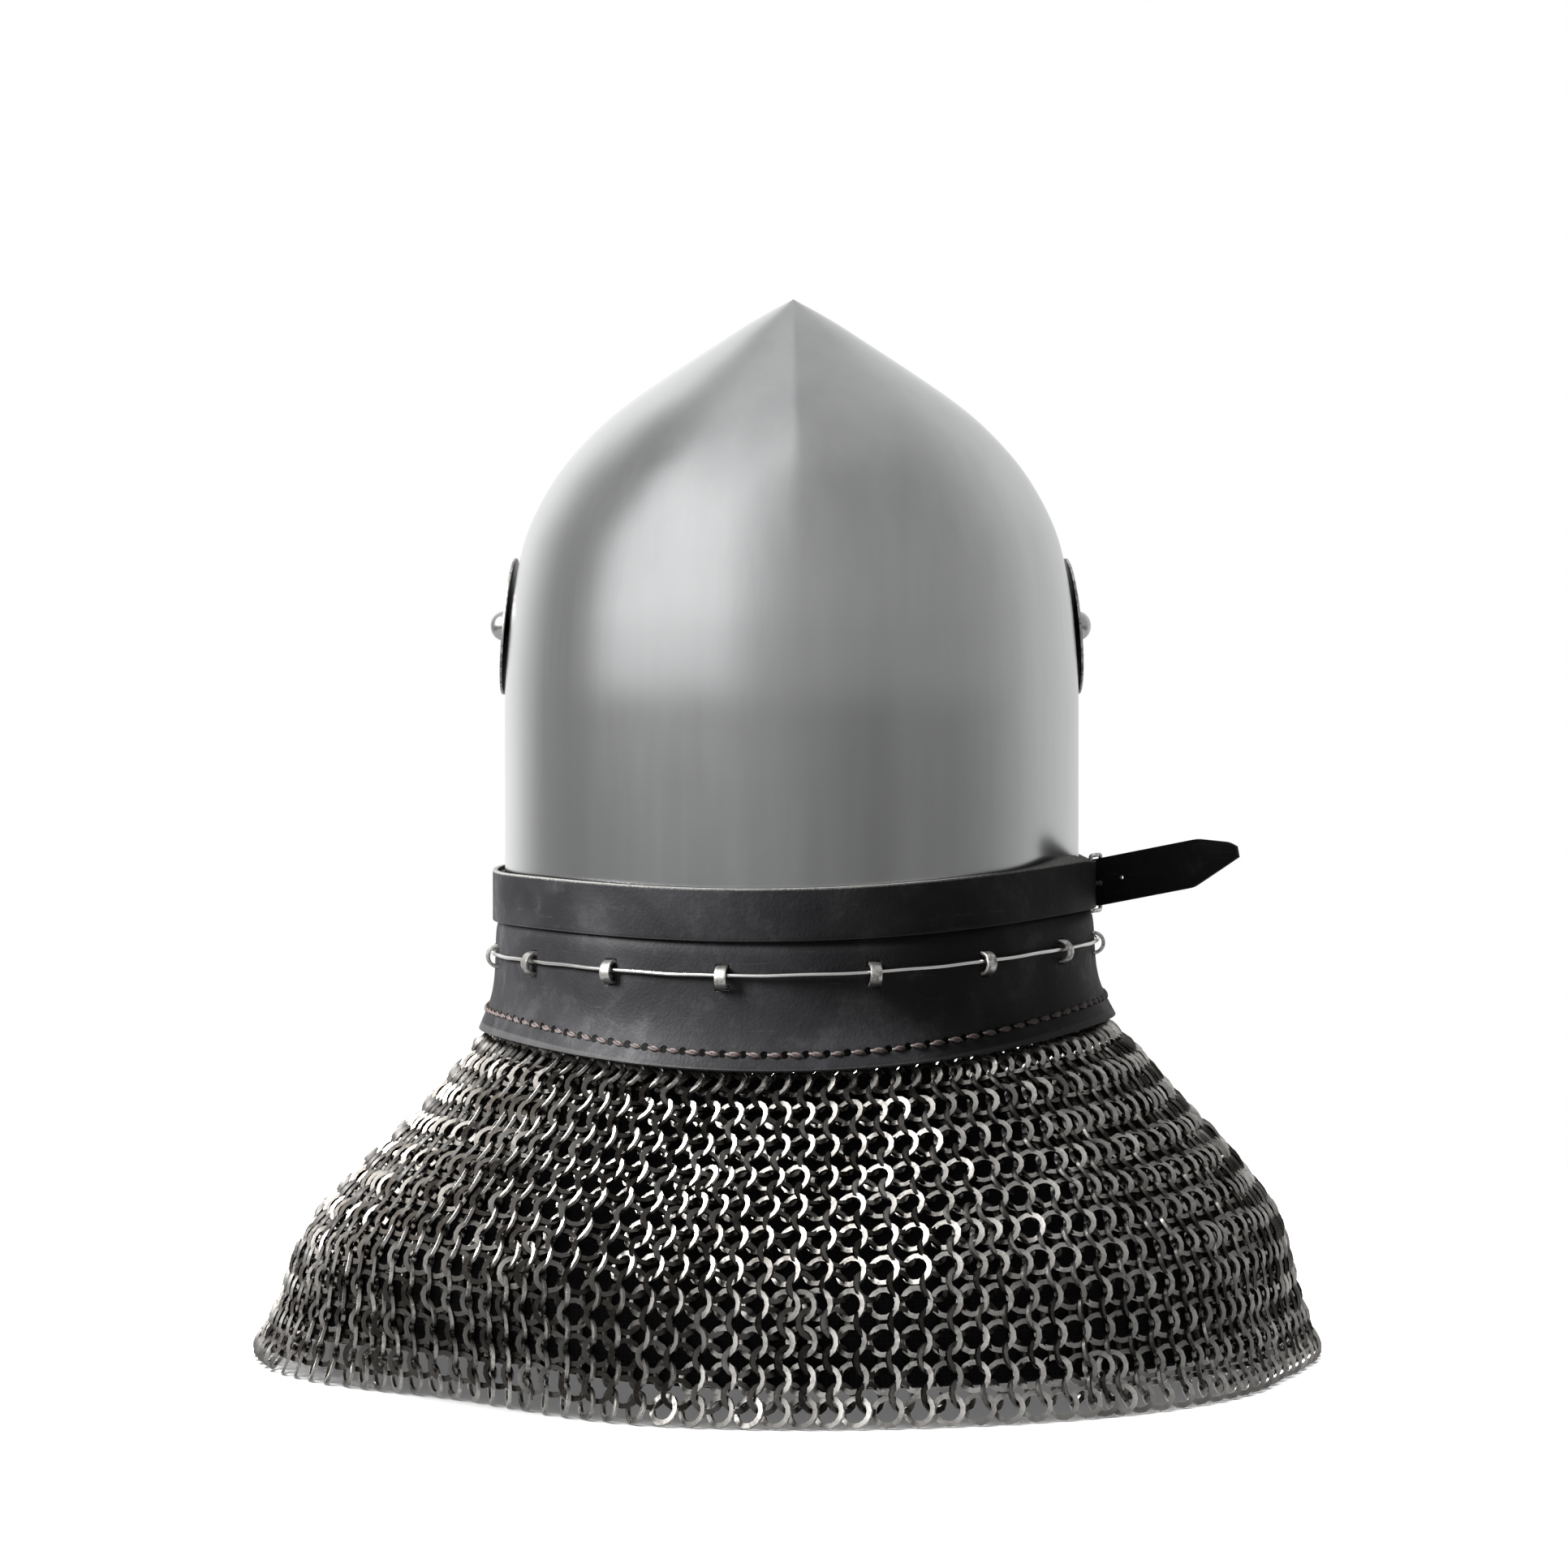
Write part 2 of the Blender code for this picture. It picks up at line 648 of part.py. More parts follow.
def make_neck_strap():
    """From the left cheek round the nape to the buckle, where it folds round the hinge bar and turns back."""
    half = STRAP_WIDTH / 2
    line = strap_line()
    raised = line + 2 * fold_radius()
    first = -STRAP_END_COLUMN
    stations = [around(turn, line, strap_height(turn)) for turn in column_turns(first, STRAP_LIFT_COLUMN)]
    start = STRAP_LIFT_COLUMN * COLUMN_STEP
    for share in (0.2, 0.4, 0.6, 0.8):
        turn = start + share * (BUCKLE_TURN - start)
        stations.append(around(turn, line + (raised - line) * ease(share), strap_height(turn)))
    buckle = buckle_frame_matrix()
    for step in range(ARC_STEPS + 1):
        angle = math.pi / 2 - math.pi * step / ARC_STEPS
        stations.append(buckle @ Vector((fold_radius() * math.cos(angle), 0, fold_radius() * math.sin(angle))))
    for share in (0.93, 0.84, 0.75):
        turn = start + share * (BUCKLE_TURN - start)
        stations.append(around(turn, line, strap_height(turn)))
    strap = ribbon("neck_strap", [(place, half, half) for place in stations], STRAP_THICKNESS, "leather")
    loop = BUCKLE_WIRE_RADIUS + 2 * (PRONG_RADIUS + CLEARANCE)
    slot_size = (2 * loop + STRAP_THICKNESS, 2 * (PRONG_RADIUS + CLEARANCE), 6 * fold_radius())
    slot_frame = buckle @ Matrix.Translation((STRAP_THICKNESS / 2, 0, 0))
    subtract(strap, box_cutter("prong_slot_cutter", slot_size, slot_frame))
    return strap


def tongue_stations():
    """From the right cheek under the front bar, up through the buckle and out to the free tip."""
    half = TONGUE_WIDTH / 2
    line = strap_line()
    buckle = buckle_frame_matrix()
    last = STRAP_END_COLUMN
    first = 1 + round(BUCKLE_TURN / COLUMN_STEP)
    root = [around(turn, line, strap_height(turn)) for turn in reversed(column_turns(first + 1, last))]
    bends = [
        buckle @ Vector((bend.forward * BUCKLE_LENGTH, 0, bend.outward * STRAP_THICKNESS - fold_radius()))
        for bend in TONGUE_BENDS
    ]
    level = math.cos(TONGUE_LIFT)
    away = buckle.to_3x3() @ Vector((
        -level * math.sin(TONGUE_SWING), math.sin(TONGUE_LIFT), level * math.cos(TONGUE_SWING)
    ))
    stations = [(place, half, half) for place in root + bends]
    plain = TONGUE_FREE_LENGTH - TONGUE_TAPER
    stations.append((bends[-1] + away * plain / 2, half, half))
    for point in TONGUE_POINTS:
        place = bends[-1] + away * (TONGUE_FREE_LENGTH - TONGUE_TAPER * point.left)
        stations.append((place, half * point.below, half * point.above))
    return stations, away


def prong_line(buckle):
    """The prong's two ends: beside the hinge bar, and on the outside of the front bar."""
    outside = BUCKLE_WIRE_RADIUS + CLEARANCE + PRONG_RADIUS
    return (
        buckle @ Vector((0, 0, outside)),
        buckle @ Vector((BUCKLE_LENGTH + BUCKLE_WIRE_RADIUS, 0, outside)),
    )


def make_tongue_strap():
    stations, away = tongue_stations()
    strap = ribbon("tongue_strap", stations, STRAP_THICKNESS, "leather")
    buckle = buckle_frame_matrix()
    back, front = prong_line(tilted_buckle_matrix())
    prong_frame = stand_on((back + front) / 2, front - back, outward(BUCKLE_TURN))
    subtract(
        strap, hole_cutter("prong_hole_cutter", PRONG_RADIUS + CLEARANCE, BUCKLE_LENGTH, prong_frame)
    )
    leaving = buckle @ Vector((
        TONGUE_BENDS[-1].forward * BUCKLE_LENGTH, 0, TONGUE_BENDS[-1].outward * STRAP_THICKNESS - fold_radius()
    ))
    face = away.cross(Vector((0, 0, 1)))
    spare_frame = stand_on(leaving + away * TONGUE_HOLE_FROM_BUCKLE, face)
    subtract(
        strap, hole_cutter("spare_hole_cutter", TONGUE_HOLE_RADIUS, 4 * STRAP_THICKNESS, spare_frame)
    )
    return strap


def make_buckle():
    """A ring of wire with rounded corners, and the prong that hooks its hinge bar."""
    buckle = tilted_buckle_matrix()
    half_height = STRAP_WIDTH / 2 + BUCKLE_PLAY + BUCKLE_WIRE_RADIUS
    corner = 2 * BUCKLE_WIRE_RADIUS
    middles = (
        (BUCKLE_LENGTH - corner, half_height - corner, 0),
        (corner, half_height - corner, 90),
        (corner, corner - half_height, 180),
        (BUCKLE_LENGTH - corner, corner - half_height, 270),
    )
    route = []
    for x, y, first in middles:
        for step in range(3):
            angle = math.radians(first + 45 * step)
            route.append(buckle @ Vector((x + corner * math.cos(angle), y + corner * math.sin(angle), 0)))
    rod("buckle_frame", route, BUCKLE_WIRE_RADIUS, "dark_steel", closed=True)

    back, front = prong_line(buckle)
    loop = BUCKLE_WIRE_RADIUS + CLEARANCE + PRONG_RADIUS
    hook = [
        buckle @ Vector((loop * math.cos(math.radians(angle)), 0, loop * math.sin(math.radians(angle))))
        for angle in range(-60, -271, -30)
    ]
    return rod("buckle_prong", hook[:-1] + [back, front], PRONG_RADIUS, "dark_steel")


def camail_sheet(name, rows, material):
    """The bell of the camail as a surface, through the rows named by their shares of the drop."""
    drops = rows[::-1]
    return sheet(
        name, COLUMNS, len(drops) - 1, lambda i, j: camail_point(i * COLUMN_STEP, drops[j]), material
    )


def make_mail():
    """The mail, as one woven wall with a flat hem."""
    below = 1 + MAIL_THICKNESS / RIM_HEIGHT
    mail = camail_sheet("mail_camail", (*MAIL_ROWS[:-1], below), "mail")
    solidify(mail, MAIL_THICKNESS, -1)
    reach = 4 * (SKULL_FRONT_DEPTH + MAIL_HEM_OFFSET)
    floor_frame = Matrix.Translation((0, 0, -reach / 2))
    subtract(mail, box_cutter("floor_cutter", (reach, reach, reach), floor_frame))
    return mail


def make_lining():
    """The padded cloth inside the mail, short of the floor."""
    lining = camail_sheet("camail_lining", LINING_ROWS, "lining")
    inward = lining.modifiers.new("inward", "DISPLACE")
    inward.strength = -(MAIL_THICKNESS + LINING_GAP)
    inward.mid_level = 0
    return solidify(lining, LINING_THICKNESS, -1)


def make_pivot(side, name, skull):
    """A dished plate on the temple and the bolt that holds it."""
    turn = side * PIVOT_TURN
    height = RIM_HEIGHT + PIVOT_ABOVE_RIM
    axis = skull_normal(turn, height)
    frame = stand_on(skull_point(turn, height), axis)
    bore = BOLT_SHANK_RADIUS + CLEARANCE

    under = CLEARANCE
    over = under + PLATE_THICKNESS
    shares = [step / 3 for step in range(4)]
    top = [(bore + (PLATE_RADIUS - bore) * share, over - PLATE_DISH * share**2) for share in shares]
    bottom = [(x, z - PLATE_THICKNESS) for x, z in reversed(top)]
    turned(f"pivot_plate_{name}", top + bottom, "black_plate", frame)

    seat = over + CLEARANCE
    inside = -SKULL_WALL - INNER_HEAD_GAP
    dome = [
        (
            BOLT_HEAD_RADIUS * math.sin(math.radians(angle)),
            seat + BOLT_HEAD_HEIGHT * math.cos(math.radians(angle)),
        )
        for angle in (0, 25, 45, 65, 90)
    ]
    shank = [
        (BOLT_SHANK_RADIUS, seat),
        (BOLT_SHANK_RADIUS, inside),
        (BOLT_HEAD_RADIUS, inside),
        (BOLT_HEAD_RADIUS, inside - INNER_HEAD_HEIGHT),
        (0, inside - INNER_HEAD_HEIGHT),
    ]
    turned(f"pivot_bolt_{name}", dome + shank, "steel", frame)
    subtract(skull, hole_cutter(f"pivot_hole_cutter_{name}", bore, 12 * SKULL_WALL, frame))


def make_rivet(side, name, strap, band, skull):
    """The rivet that holds a strap's root through the band to the cheek."""
    turn = side * RIVET_TURN
    skull_face = around(turn, 0, strap_height(turn))
    frame = stand_on(skull_face, outward(turn))
    bore = RIVET_SHANK_RADIUS + CLEARANCE
    seat = strap_line() + STRAP_THICKNESS / 2 + CLEARANCE
    inside = -SKULL_WALL - INNER_HEAD_GAP
    profile = [
        (0, seat + RIVET_HEAD_HEIGHT),
        (0.6 * RIVET_HEAD_RADIUS, seat + 0.8 * RIVET_HEAD_HEIGHT),
        (RIVET_HEAD_RADIUS, seat),
        (RIVET_SHANK_RADIUS, seat),
        (RIVET_SHANK_RADIUS, inside),
        (RIVET_HEAD_RADIUS, inside),
        (RIVET_HEAD_RADIUS, inside - INNER_HEAD_HEIGHT),
        (0, inside - INNER_HEAD_HEIGHT),
    ]
    turned(f"cheek_rivet_{name}", profile, "dark_steel", frame)
    cutter = hole_cutter(f"rivet_hole_cutter_{name}", bore, 20 * SKULL_WALL, frame)
    for piece in (strap, band, skull):
        subtract(piece, cutter)


def main():
    for old in list(bpy.data.objects):
        bpy.data.objects.remove(old)
    make_collection("bascinet")
    make_collection("cutters", shown=False)
    origin = bpy.data.objects.new("bascinet_origin", None)
    bpy.data.collections["bascinet"].objects.link(origin)
    for name in COLOURS:
        make_material(name)

    skull = make_skull()
    band = make_band()
    for number, turn in enumerate(staple_turns(), 1):
        make_staple(number, turn)
    make_wire()
    neck_strap = make_neck_strap()
    tongue_strap = make_tongue_strap()
    make_buckle()
    make_mail()
    make_lining()
    for side, name in ((-1, "left"), (1, "right")):
        make_pivot(side, name, skull)
    make_rivet(-1, "left", neck_strap, band, skull)
    make_rivet(1, "right", tongue_strap, band, skull)
    origin.location = (SKULL_AXIS_X, SKULL_AXIS_Y, 0)


main()
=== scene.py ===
from math import cos, degrees, exp, hypot, pi, radians, sin

import bpy
import numpy as np
from mathutils import Matrix, Vector


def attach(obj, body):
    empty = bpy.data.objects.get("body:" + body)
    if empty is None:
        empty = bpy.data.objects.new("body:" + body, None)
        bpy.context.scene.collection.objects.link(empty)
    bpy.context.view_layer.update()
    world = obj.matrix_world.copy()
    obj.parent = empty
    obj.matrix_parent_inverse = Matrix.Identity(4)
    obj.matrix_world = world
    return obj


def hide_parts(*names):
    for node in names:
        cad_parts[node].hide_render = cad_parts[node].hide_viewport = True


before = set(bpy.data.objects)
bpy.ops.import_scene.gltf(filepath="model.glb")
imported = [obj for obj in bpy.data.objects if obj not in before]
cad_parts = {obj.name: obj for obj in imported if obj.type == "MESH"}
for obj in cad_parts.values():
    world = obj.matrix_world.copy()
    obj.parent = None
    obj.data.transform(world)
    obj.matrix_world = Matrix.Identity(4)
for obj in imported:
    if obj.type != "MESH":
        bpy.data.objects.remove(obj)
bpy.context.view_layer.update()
dice = np.random.default_rng(11)

# camera first: at the nape, a touch to the wearer's left, looking slightly down
photoView = {"lens": 125.1, "distance": 1.946, "height": 0.260, "aside": 0.0027, "turn": 1.0, "down": 1.664}
helmet = {
    "axisX": 0.0019, "axisY": -0.0111,  # the skull's own axis
    "height": 0.2445, "dome": 0.143, "halfWidth": 0.1022, "back": 0.112, "front": 0.128,
    "setback": 0.030, "wall": 0.002, "roundness": 2.15, "ridge": 0.035, "ridgeSpread": 20,
}
rim, gap = 0.130, 0.0003  # the skull's lower edge, and the clearance between pieces


def shown(name, data):  # an object in the scene, from its data
    made = bpy.data.objects.new(name, data)
    bpy.context.scene.collection.objects.link(made)
    return made


camData = bpy.data.cameras.new("photoCamera")
camData.lens = photoView["lens"]
camData.sensor_width = 36
camData.clip_end = 50
cam = shown("photoCamera", camData)
swing = Matrix.Rotation(-radians(photoView["turn"]), 4, "Z")
cam.location = swing @ Vector((-photoView["aside"], -photoView["distance"], photoView["height"]))
cam.location += Vector((helmet["axisX"], helmet["axisY"], 0))
cam.rotation_euler = (radians(90 - photoView["down"]), 0, -radians(photoView["turn"]))
bpy.context.scene.camera = cam
print("camera placed")


# the helmet's own lines; turn 0 is the nape and +90 degrees the wearer's right
def softStep(x):
    x = np.clip(x, 0, 1)
    return x * x * (3 - 2 * x)


def unit(vectors):
    return vectors / np.linalg.norm(vectors, axis=-1, keepdims=True)


def lengthAlong(points):  # the length run along each line of points, from its first point
    steps = np.linalg.norm(np.diff(points, axis=-2), axis=-1)
    return np.concatenate((np.zeros(steps.shape[:-1] + (1,)), np.cumsum(steps, axis=-1)), -1)


def throughPoints(places, values, at):  # a curve through given points that never overshoots
    places, values = np.array(places, float), np.array(values, float)
    steps = np.diff(places)
    rises = np.diff(values) / steps
    slopes = np.concatenate(([rises[0]], np.zeros(len(rises) - 1), [rises[-1]]))
    same = rises[:-1] * rises[1:] > 0
    slopes[1:-1][same] = 2 * (rises[:-1] * rises[1:])[same] / (rises[:-1] + rises[1:])[same]
    at = np.clip(at, places[0], places[-1])
    i = np.clip(np.searchsorted(places, at, side="right") - 1, 0, len(steps) - 1)
    t, h = (at - places[i]) / steps[i], steps[i]
    start = values[i] * (1 + 2 * t) * (1 - t) ** 2 + slopes[i] * h * t * (1 - t) ** 2
    end = values[i + 1] * t * t * (3 - 2 * t) - slopes[i + 1] * h * t * t * (1 - t)
    return start + end


domeRows = (  # drop from the point, then shares of the half width, the back and the front
    (0.00, 0.000, 0.000, 0.000), (0.05, 0.134, 0.143, 0.110), (0.10, 0.242, 0.256, 0.203),
    (0.15, 0.354, 0.372, 0.303), (0.30, 0.652, 0.665, 0.570), (0.45, 0.835, 0.845, 0.762),
    (0.60, 0.934, 0.942, 0.888), (0.80, 0.985, 0.988, 0.970), (1.00, 1.000, 1.000, 1.000),
    (1.20, 1.000, 1.000, 1.000), (3.00, 1.000, 1.000, 1.000),
)
fineDrop = np.linspace(-0.3, 2.6, 2901)
ironing = np.hanning(121)
ironing /= ironing.sum()


def ironed(drops, shares):  # polished steel shows every kink, so the line is smoothed as a hammer would
    line = throughPoints(drops, shares, np.abs(fineDrop)) * np.sign(fineDrop)
    return np.where(fineDrop > 2.4, 1.0, np.convolve(line, ironing, mode="same"))


domeDrops, *domeShares = zip(*domeRows)
domeLines = [ironed(domeDrops, shares) for shares in domeShares]


def skullPoints(turn, height):  # any arrays of turns and heights
    turn, height = np.broadcast_arrays(np.asarray(turn, float), np.asarray(height, float))
    drop = (rim + helmet["height"] - height) / helmet["dome"]
    wide, back, front = (np.interp(drop, fineDrop, line) for line in domeLines)
    middle = -helmet["setback"] * (1 - wide)
    nape = -helmet["setback"] - (helmet["back"] - helmet["setback"]) * back
    brow = -helmet["setback"] + (helmet["front"] + helmet["setback"]) * front
    side, ahead = np.sin(turn), -np.cos(turn)
    depth = np.where(ahead > 0, brow - middle, middle - nape)
    fromRidge = np.arctan2(np.abs(side), np.abs(ahead))
    ridge = np.maximum(0, 1 - fromRidge / radians(helmet["ridgeSpread"])) ** 2
    depth = depth * (1 + helmet["ridge"] * ridge * np.maximum(0, 1 - drop) ** 2)
    power = 2 / helmet["roundness"]
    x = helmet["halfWidth"] * wide * np.sign(side) * np.abs(side) ** power
    y = middle + depth * np.sign(ahead) * np.abs(ahead) ** power
    return np.stack([x + helmet["axisX"], y + helmet["axisY"], height], -1)


def outward(turn):  # level, straight out of the skull's lower wall
    along = skullPoints(turn + 0.01, rim) - skullPoints(turn - 0.01, rim)
    return unit(np.stack([along[..., 1], -along[..., 0], np.zeros(along.shape[:-1])], -1))


def around(turn, offset, height):  # outside the lower wall, at a height that follows the collar's slope
    turn, offset, height = np.broadcast_arrays(*(np.asarray(v, float) for v in (turn, offset, height)))
    place = skullPoints(turn, rim) + outward(turn) * offset[..., None]
    place[..., 2] = height + collar["slope"] * (place[..., 0] - helmet["axisX"])
    return place


def skullFrame(turn, height):  # standing on the steel: own Z out of it, own Y near upright
    at = lambda t, h: Vector(skullPoints(t, h))
    along = at(turn + 0.002, height) - at(turn - 0.002, height)
    rise = at(turn, height + 0.002) - at(turn, height - 0.002)
    return standOn(at(turn, height), along.cross(rise))


def standOn(place, axis):
    ownZ = Vector(axis).normalized()
    ownX = Vector((0, 0, 1)).cross(ownZ).normalized()
    return standing(place, ownX, ownZ.cross(ownX))


def standing(place, ownX, ownY):
    base = Matrix((ownX, ownY, ownX.cross(ownY))).transposed().to_4x4()
    base.translation = Vector(place)
    return base


collar = {  # the leather band, measured from the skull's rim
    "above": 0.0405, "below": 0.0198, "bottomLift": 0.0085, "bottomRate": 1.2,
    "sideLift": 0.0039, "sideRate": 1.35,
    "slope": 0.022, "thick": 0.002, "end": 135, "flare": 0.0092, "lean": 0.002,
    "stitchUp": 0.0056, "stitchSideUp": 0.0021, "stitchPitch": 0.0070, "seamLow": 0.0005,
}
flareRows = (  # drop below the strap, then shares of the flare and of the lean to the wearer's right
    (0.00, 0.00, 0.00), (0.10, 0.20, 0.50), (0.50, 0.30, 0.62), (0.63, 0.38, 0.68), (0.75, 0.52, 0.76),
    (0.88, 0.76, 0.87), (1.00, 1.00, 1.00),
)
strap = {
    "above": 0.0329, "width": 0.0178, "thick": 0.0018, "left": -127.5, "lift": 67.5,
    "buckle": 88, "wire": 0.00075, "bulge": 0.0026, "bulgeTurn": 62, "bulgeSpread": 9, "skived": 0.0008,
    "dip": 0.0011, "narrow": 0.0007,
}


def sideLift(turn, rate):  # 0 at the nape, 1 from the sides to the face
    fromNape = np.abs((np.asarray(turn, float) + pi) % (2 * pi) - pi)
    return np.sin(np.minimum(rate * fromNape, pi / 2)) ** 2


def collarHeight(turn, above):
    return rim + above + collar["sideLift"] * sideLift(turn, collar["sideRate"])


def bandBottom(turn):
    return rim - collar["below"] + collar["bottomLift"] * sideLift(turn, collar["bottomRate"])


def strapFoot(turn):
    return collarHeight(turn, strap["above"] - strap["width"] / 2 - gap)


def bandOffset(turn, height):
    drop = np.clip((strapFoot(turn) - height) / (strapFoot(turn) - bandBottom(turn)), 0, 1)
    drops, flares, leans = zip(*flareRows)
    flare = collar["flare"] * throughPoints(drops, flares, drop)
    lean = collar["lean"] * throughPoints(drops, leans, drop) * np.sin(turn)
    return gap + np.maximum(0, flare + lean)


strapLine = 2 * gap + collar["thick"] + strap["thick"] / 2


def strapHeight(turn):
    return collarHeight(turn, strap["above"])


def stitchHeight(turn):
    return bandBottom(turn) + collar["stitchUp"] + collar["stitchSideUp"] * sideLift(turn, collar["bottomRate"])


# making and finishing pieces
def freshStart():
    if bpy.context.object and bpy.context.object.mode != "OBJECT":
        bpy.ops.object.mode_set(mode="OBJECT")
    bpy.ops.object.select_all(action="DESELECT")


def fresh(add, **settings):  # runs an operator that adds an object, and gives the object
    freshStart()
    add(**settings)
    return bpy.context.object


def only(piece):
    freshStart()
    piece.select_set(True)
    bpy.context.view_layer.objects.active = piece


def inEdit(piece, *steps):
    only(piece)
    bpy.ops.object.mode_set(mode="EDIT")
    bpy.ops.mesh.select_all(action="SELECT")
    for step in steps:
        step()
    bpy.ops.object.mode_set(mode="OBJECT")


def weld(distance=1e-6):
    return lambda: bpy.ops.mesh.remove_doubles(threshold=distance)


def facesOut():
    bpy.ops.mesh.normals_make_consistent(inside=False)


def corners(piece):
    co = np.empty(len(piece.data.vertices) * 3)
    piece.data.vertices.foreach_get("co", co)
    return co.reshape(-1, 3)


def setCorners(piece, co):
    piece.data.vertices.foreach_set("co", np.asarray(co, float).ravel())
    piece.data.update()


def bentGrid(name, columns, rows, place, paint=None):
    # a grid whose corner at (i, j) goes to place(i, j); paint gives the UV there, in metres
    piece = fresh(bpy.ops.mesh.primitive_grid_add, x_subdivisions=columns, y_subdivisions=rows, size=1)
    piece.name = piece.data.name = name
    co = corners(piece)
    i = np.rint((co[:, 0] + 0.5) * columns)
    j = np.rint((co[:, 1] + 0.5) * rows)
    if paint:
        uv = np.stack(paint(i, j), -1)
        loops = np.empty(len(piece.data.loops), int)
        piece.data.loops.foreach_get("vertex_index", loops)
        piece.data.uv_layers[0].data.foreach_set("uv", uv[loops].ravel())
    setCorners(piece, place(i, j))
    return piece


def addModifier(piece, kind, **settings):
    modifier = piece.modifiers.new(kind.title(), kind)
    for key, value in settings.items():
        setattr(modifier, key, value)
    only(piece)
    bpy.ops.object.modifier_apply(modifier=modifier.name)


def wall(piece, thick, side):
    addModifier(piece, "SOLIDIFY", thickness=thick, offset=side, use_even_offset=True)


def softEdges(piece, width, angle=50, segments=2):
    addModifier(
        piece, "BEVEL", width=width, segments=segments, limit_method="ANGLE", angle_limit=radians(angle),
        harden_normals=False,
    )


def cutAway(piece, cutter):
    addModifier(piece, "BOOLEAN", operation="DIFFERENCE", solver="EXACT", object=cutter)
    bpy.data.objects.remove(cutter)


def smooth(piece, angle):
    only(piece)
    bpy.ops.object.shade_smooth_by_angle(angle=radians(angle))


def joined(name, pieces):
    freshStart()
    for piece in pieces:
        piece.select_set(True)
    bpy.context.view_layer.objects.active = pieces[0]
    if len(pieces) > 1:
        bpy.ops.object.join()
    pieces[0].name = pieces[0].data.name = name
    return pieces[0]


def placed(piece, matrix=Matrix()):  # puts the place into the mesh, and leaves the object at the origin
    piece.data.transform(matrix @ piece.matrix_basis)
    piece.matrix_basis = Matrix.Identity(4)
    return piece


def cylinder(vertices, radius, depth, middle=0.0):
    return placed(fresh(
        bpy.ops.mesh.primitive_cylinder_add, vertices=vertices, radius=radius, depth=depth,
        location=(0, 0, middle)))


def block(size, middle, base):
    piece = fresh(bpy.ops.mesh.primitive_cube_add, size=1, location=middle, scale=size)
    bpy.ops.object.transform_apply(location=True, rotation=True, scale=True)
    return placed(piece, base)


def copied(piece, matrix):
    twin = piece.copy()
    twin.data = piece.data.copy()
    bpy.context.scene.collection.objects.link(twin)
    return placed(twin, matrix)


def bentRod(name, points, radius, closed=False, sides=3):  # a round wire along points
    line = bpy.data.curves.new(name, "CURVE")
    line.dimensions = "3D"
    line.bevel_depth = radius
    line.bevel_resolution = sides
    line.use_fill_caps = not closed
    spline = line.splines.new("POLY")
    spline.points.add(len(points) - 1)
    spline.points.foreach_set("co", np.c_[np.array(points, float), np.ones(len(points))].ravel())
    spline.use_cyclic_u = closed
    only(shown(name, line))
    bpy.ops.object.convert(target="MESH")
    inEdit(bpy.context.object, weld(1e-6), facesOut)
    smooth(bpy.context.object, 50)
    return bpy.context.object


madePieces = []


def handIn(piece, slot, material, *nodes):
    madePieces.append(piece)
    piece.data.materials.clear()
    for one in material if isinstance(material, list) else [material]:
        piece.data.materials.append(one)
    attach(piece, "root")
    if nodes:
        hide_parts(*nodes)
    return piece


# shader maths written as sums
class Reading:
    def __init__(self, tree, socket):
        self.tree, self.socket = tree, socket

    def maths(self, operation, *values, clamp=False):
        node = self.tree.nodes.new("ShaderNodeMath")
        node.operation, node.use_clamp = operation, clamp
        for slot, value in zip(node.inputs, values):
            connect(self.tree, slot, value)
        return Reading(self.tree, node.outputs[0])

    def __add__(self, other): return self.maths("ADD", self, other)
    def __radd__(self, other): return self.maths("ADD", other, self)
    def __sub__(self, other): return self.maths("SUBTRACT", self, other)
    def __rsub__(self, other): return self.maths("SUBTRACT", other, self)
    def __mul__(self, other): return self.maths("MULTIPLY", self, other)
    def __truediv__(self, other): return self.maths("DIVIDE", self, other)
    def __pow__(self, other): return self.maths("POWER", self, other)
    def __abs__(self): return self.maths("ABSOLUTE", self)


def connect(tree, slot, value):
    if isinstance(value, Reading):
        tree.links.new(value.socket, slot)
    elif hasattr(slot.default_value, "__len__"):
        value = tuple(value)
        slot.default_value = value + (1,) if len(value) < len(slot.default_value) else value
    else:
        slot.default_value = value


class NodeTree:  # adds a node by its kind, its settings and the values or links of its sockets
    def __init__(self, tree):
        self.tree = tree

    def node(self, kind, settings=None, out=0, **values):
        node = self.tree.nodes.new(kind)
        for key, value in (settings or {}).items():
            setattr(node, key, value)
        for key, value in values.items():
            connect(self.tree, node.inputs[key], value)
        return Reading(self.tree, node.outputs[out])

    def parts(self, vector):
        node = self.tree.nodes.new("ShaderNodeSeparateXYZ")
        connect(self.tree, node.inputs[0], vector)
        return [Reading(self.tree, output) for output in node.outputs]

    def band(self, value, low, high, toLow=0.0, toHigh=1.0):
        return self.node(
            "ShaderNodeMapRange", {"interpolation_type": "SMOOTHSTEP"}, Value=value, **{
                "From Min": low, "From Max": high, "To Min": toLow, "To Max": toHigh}
        )


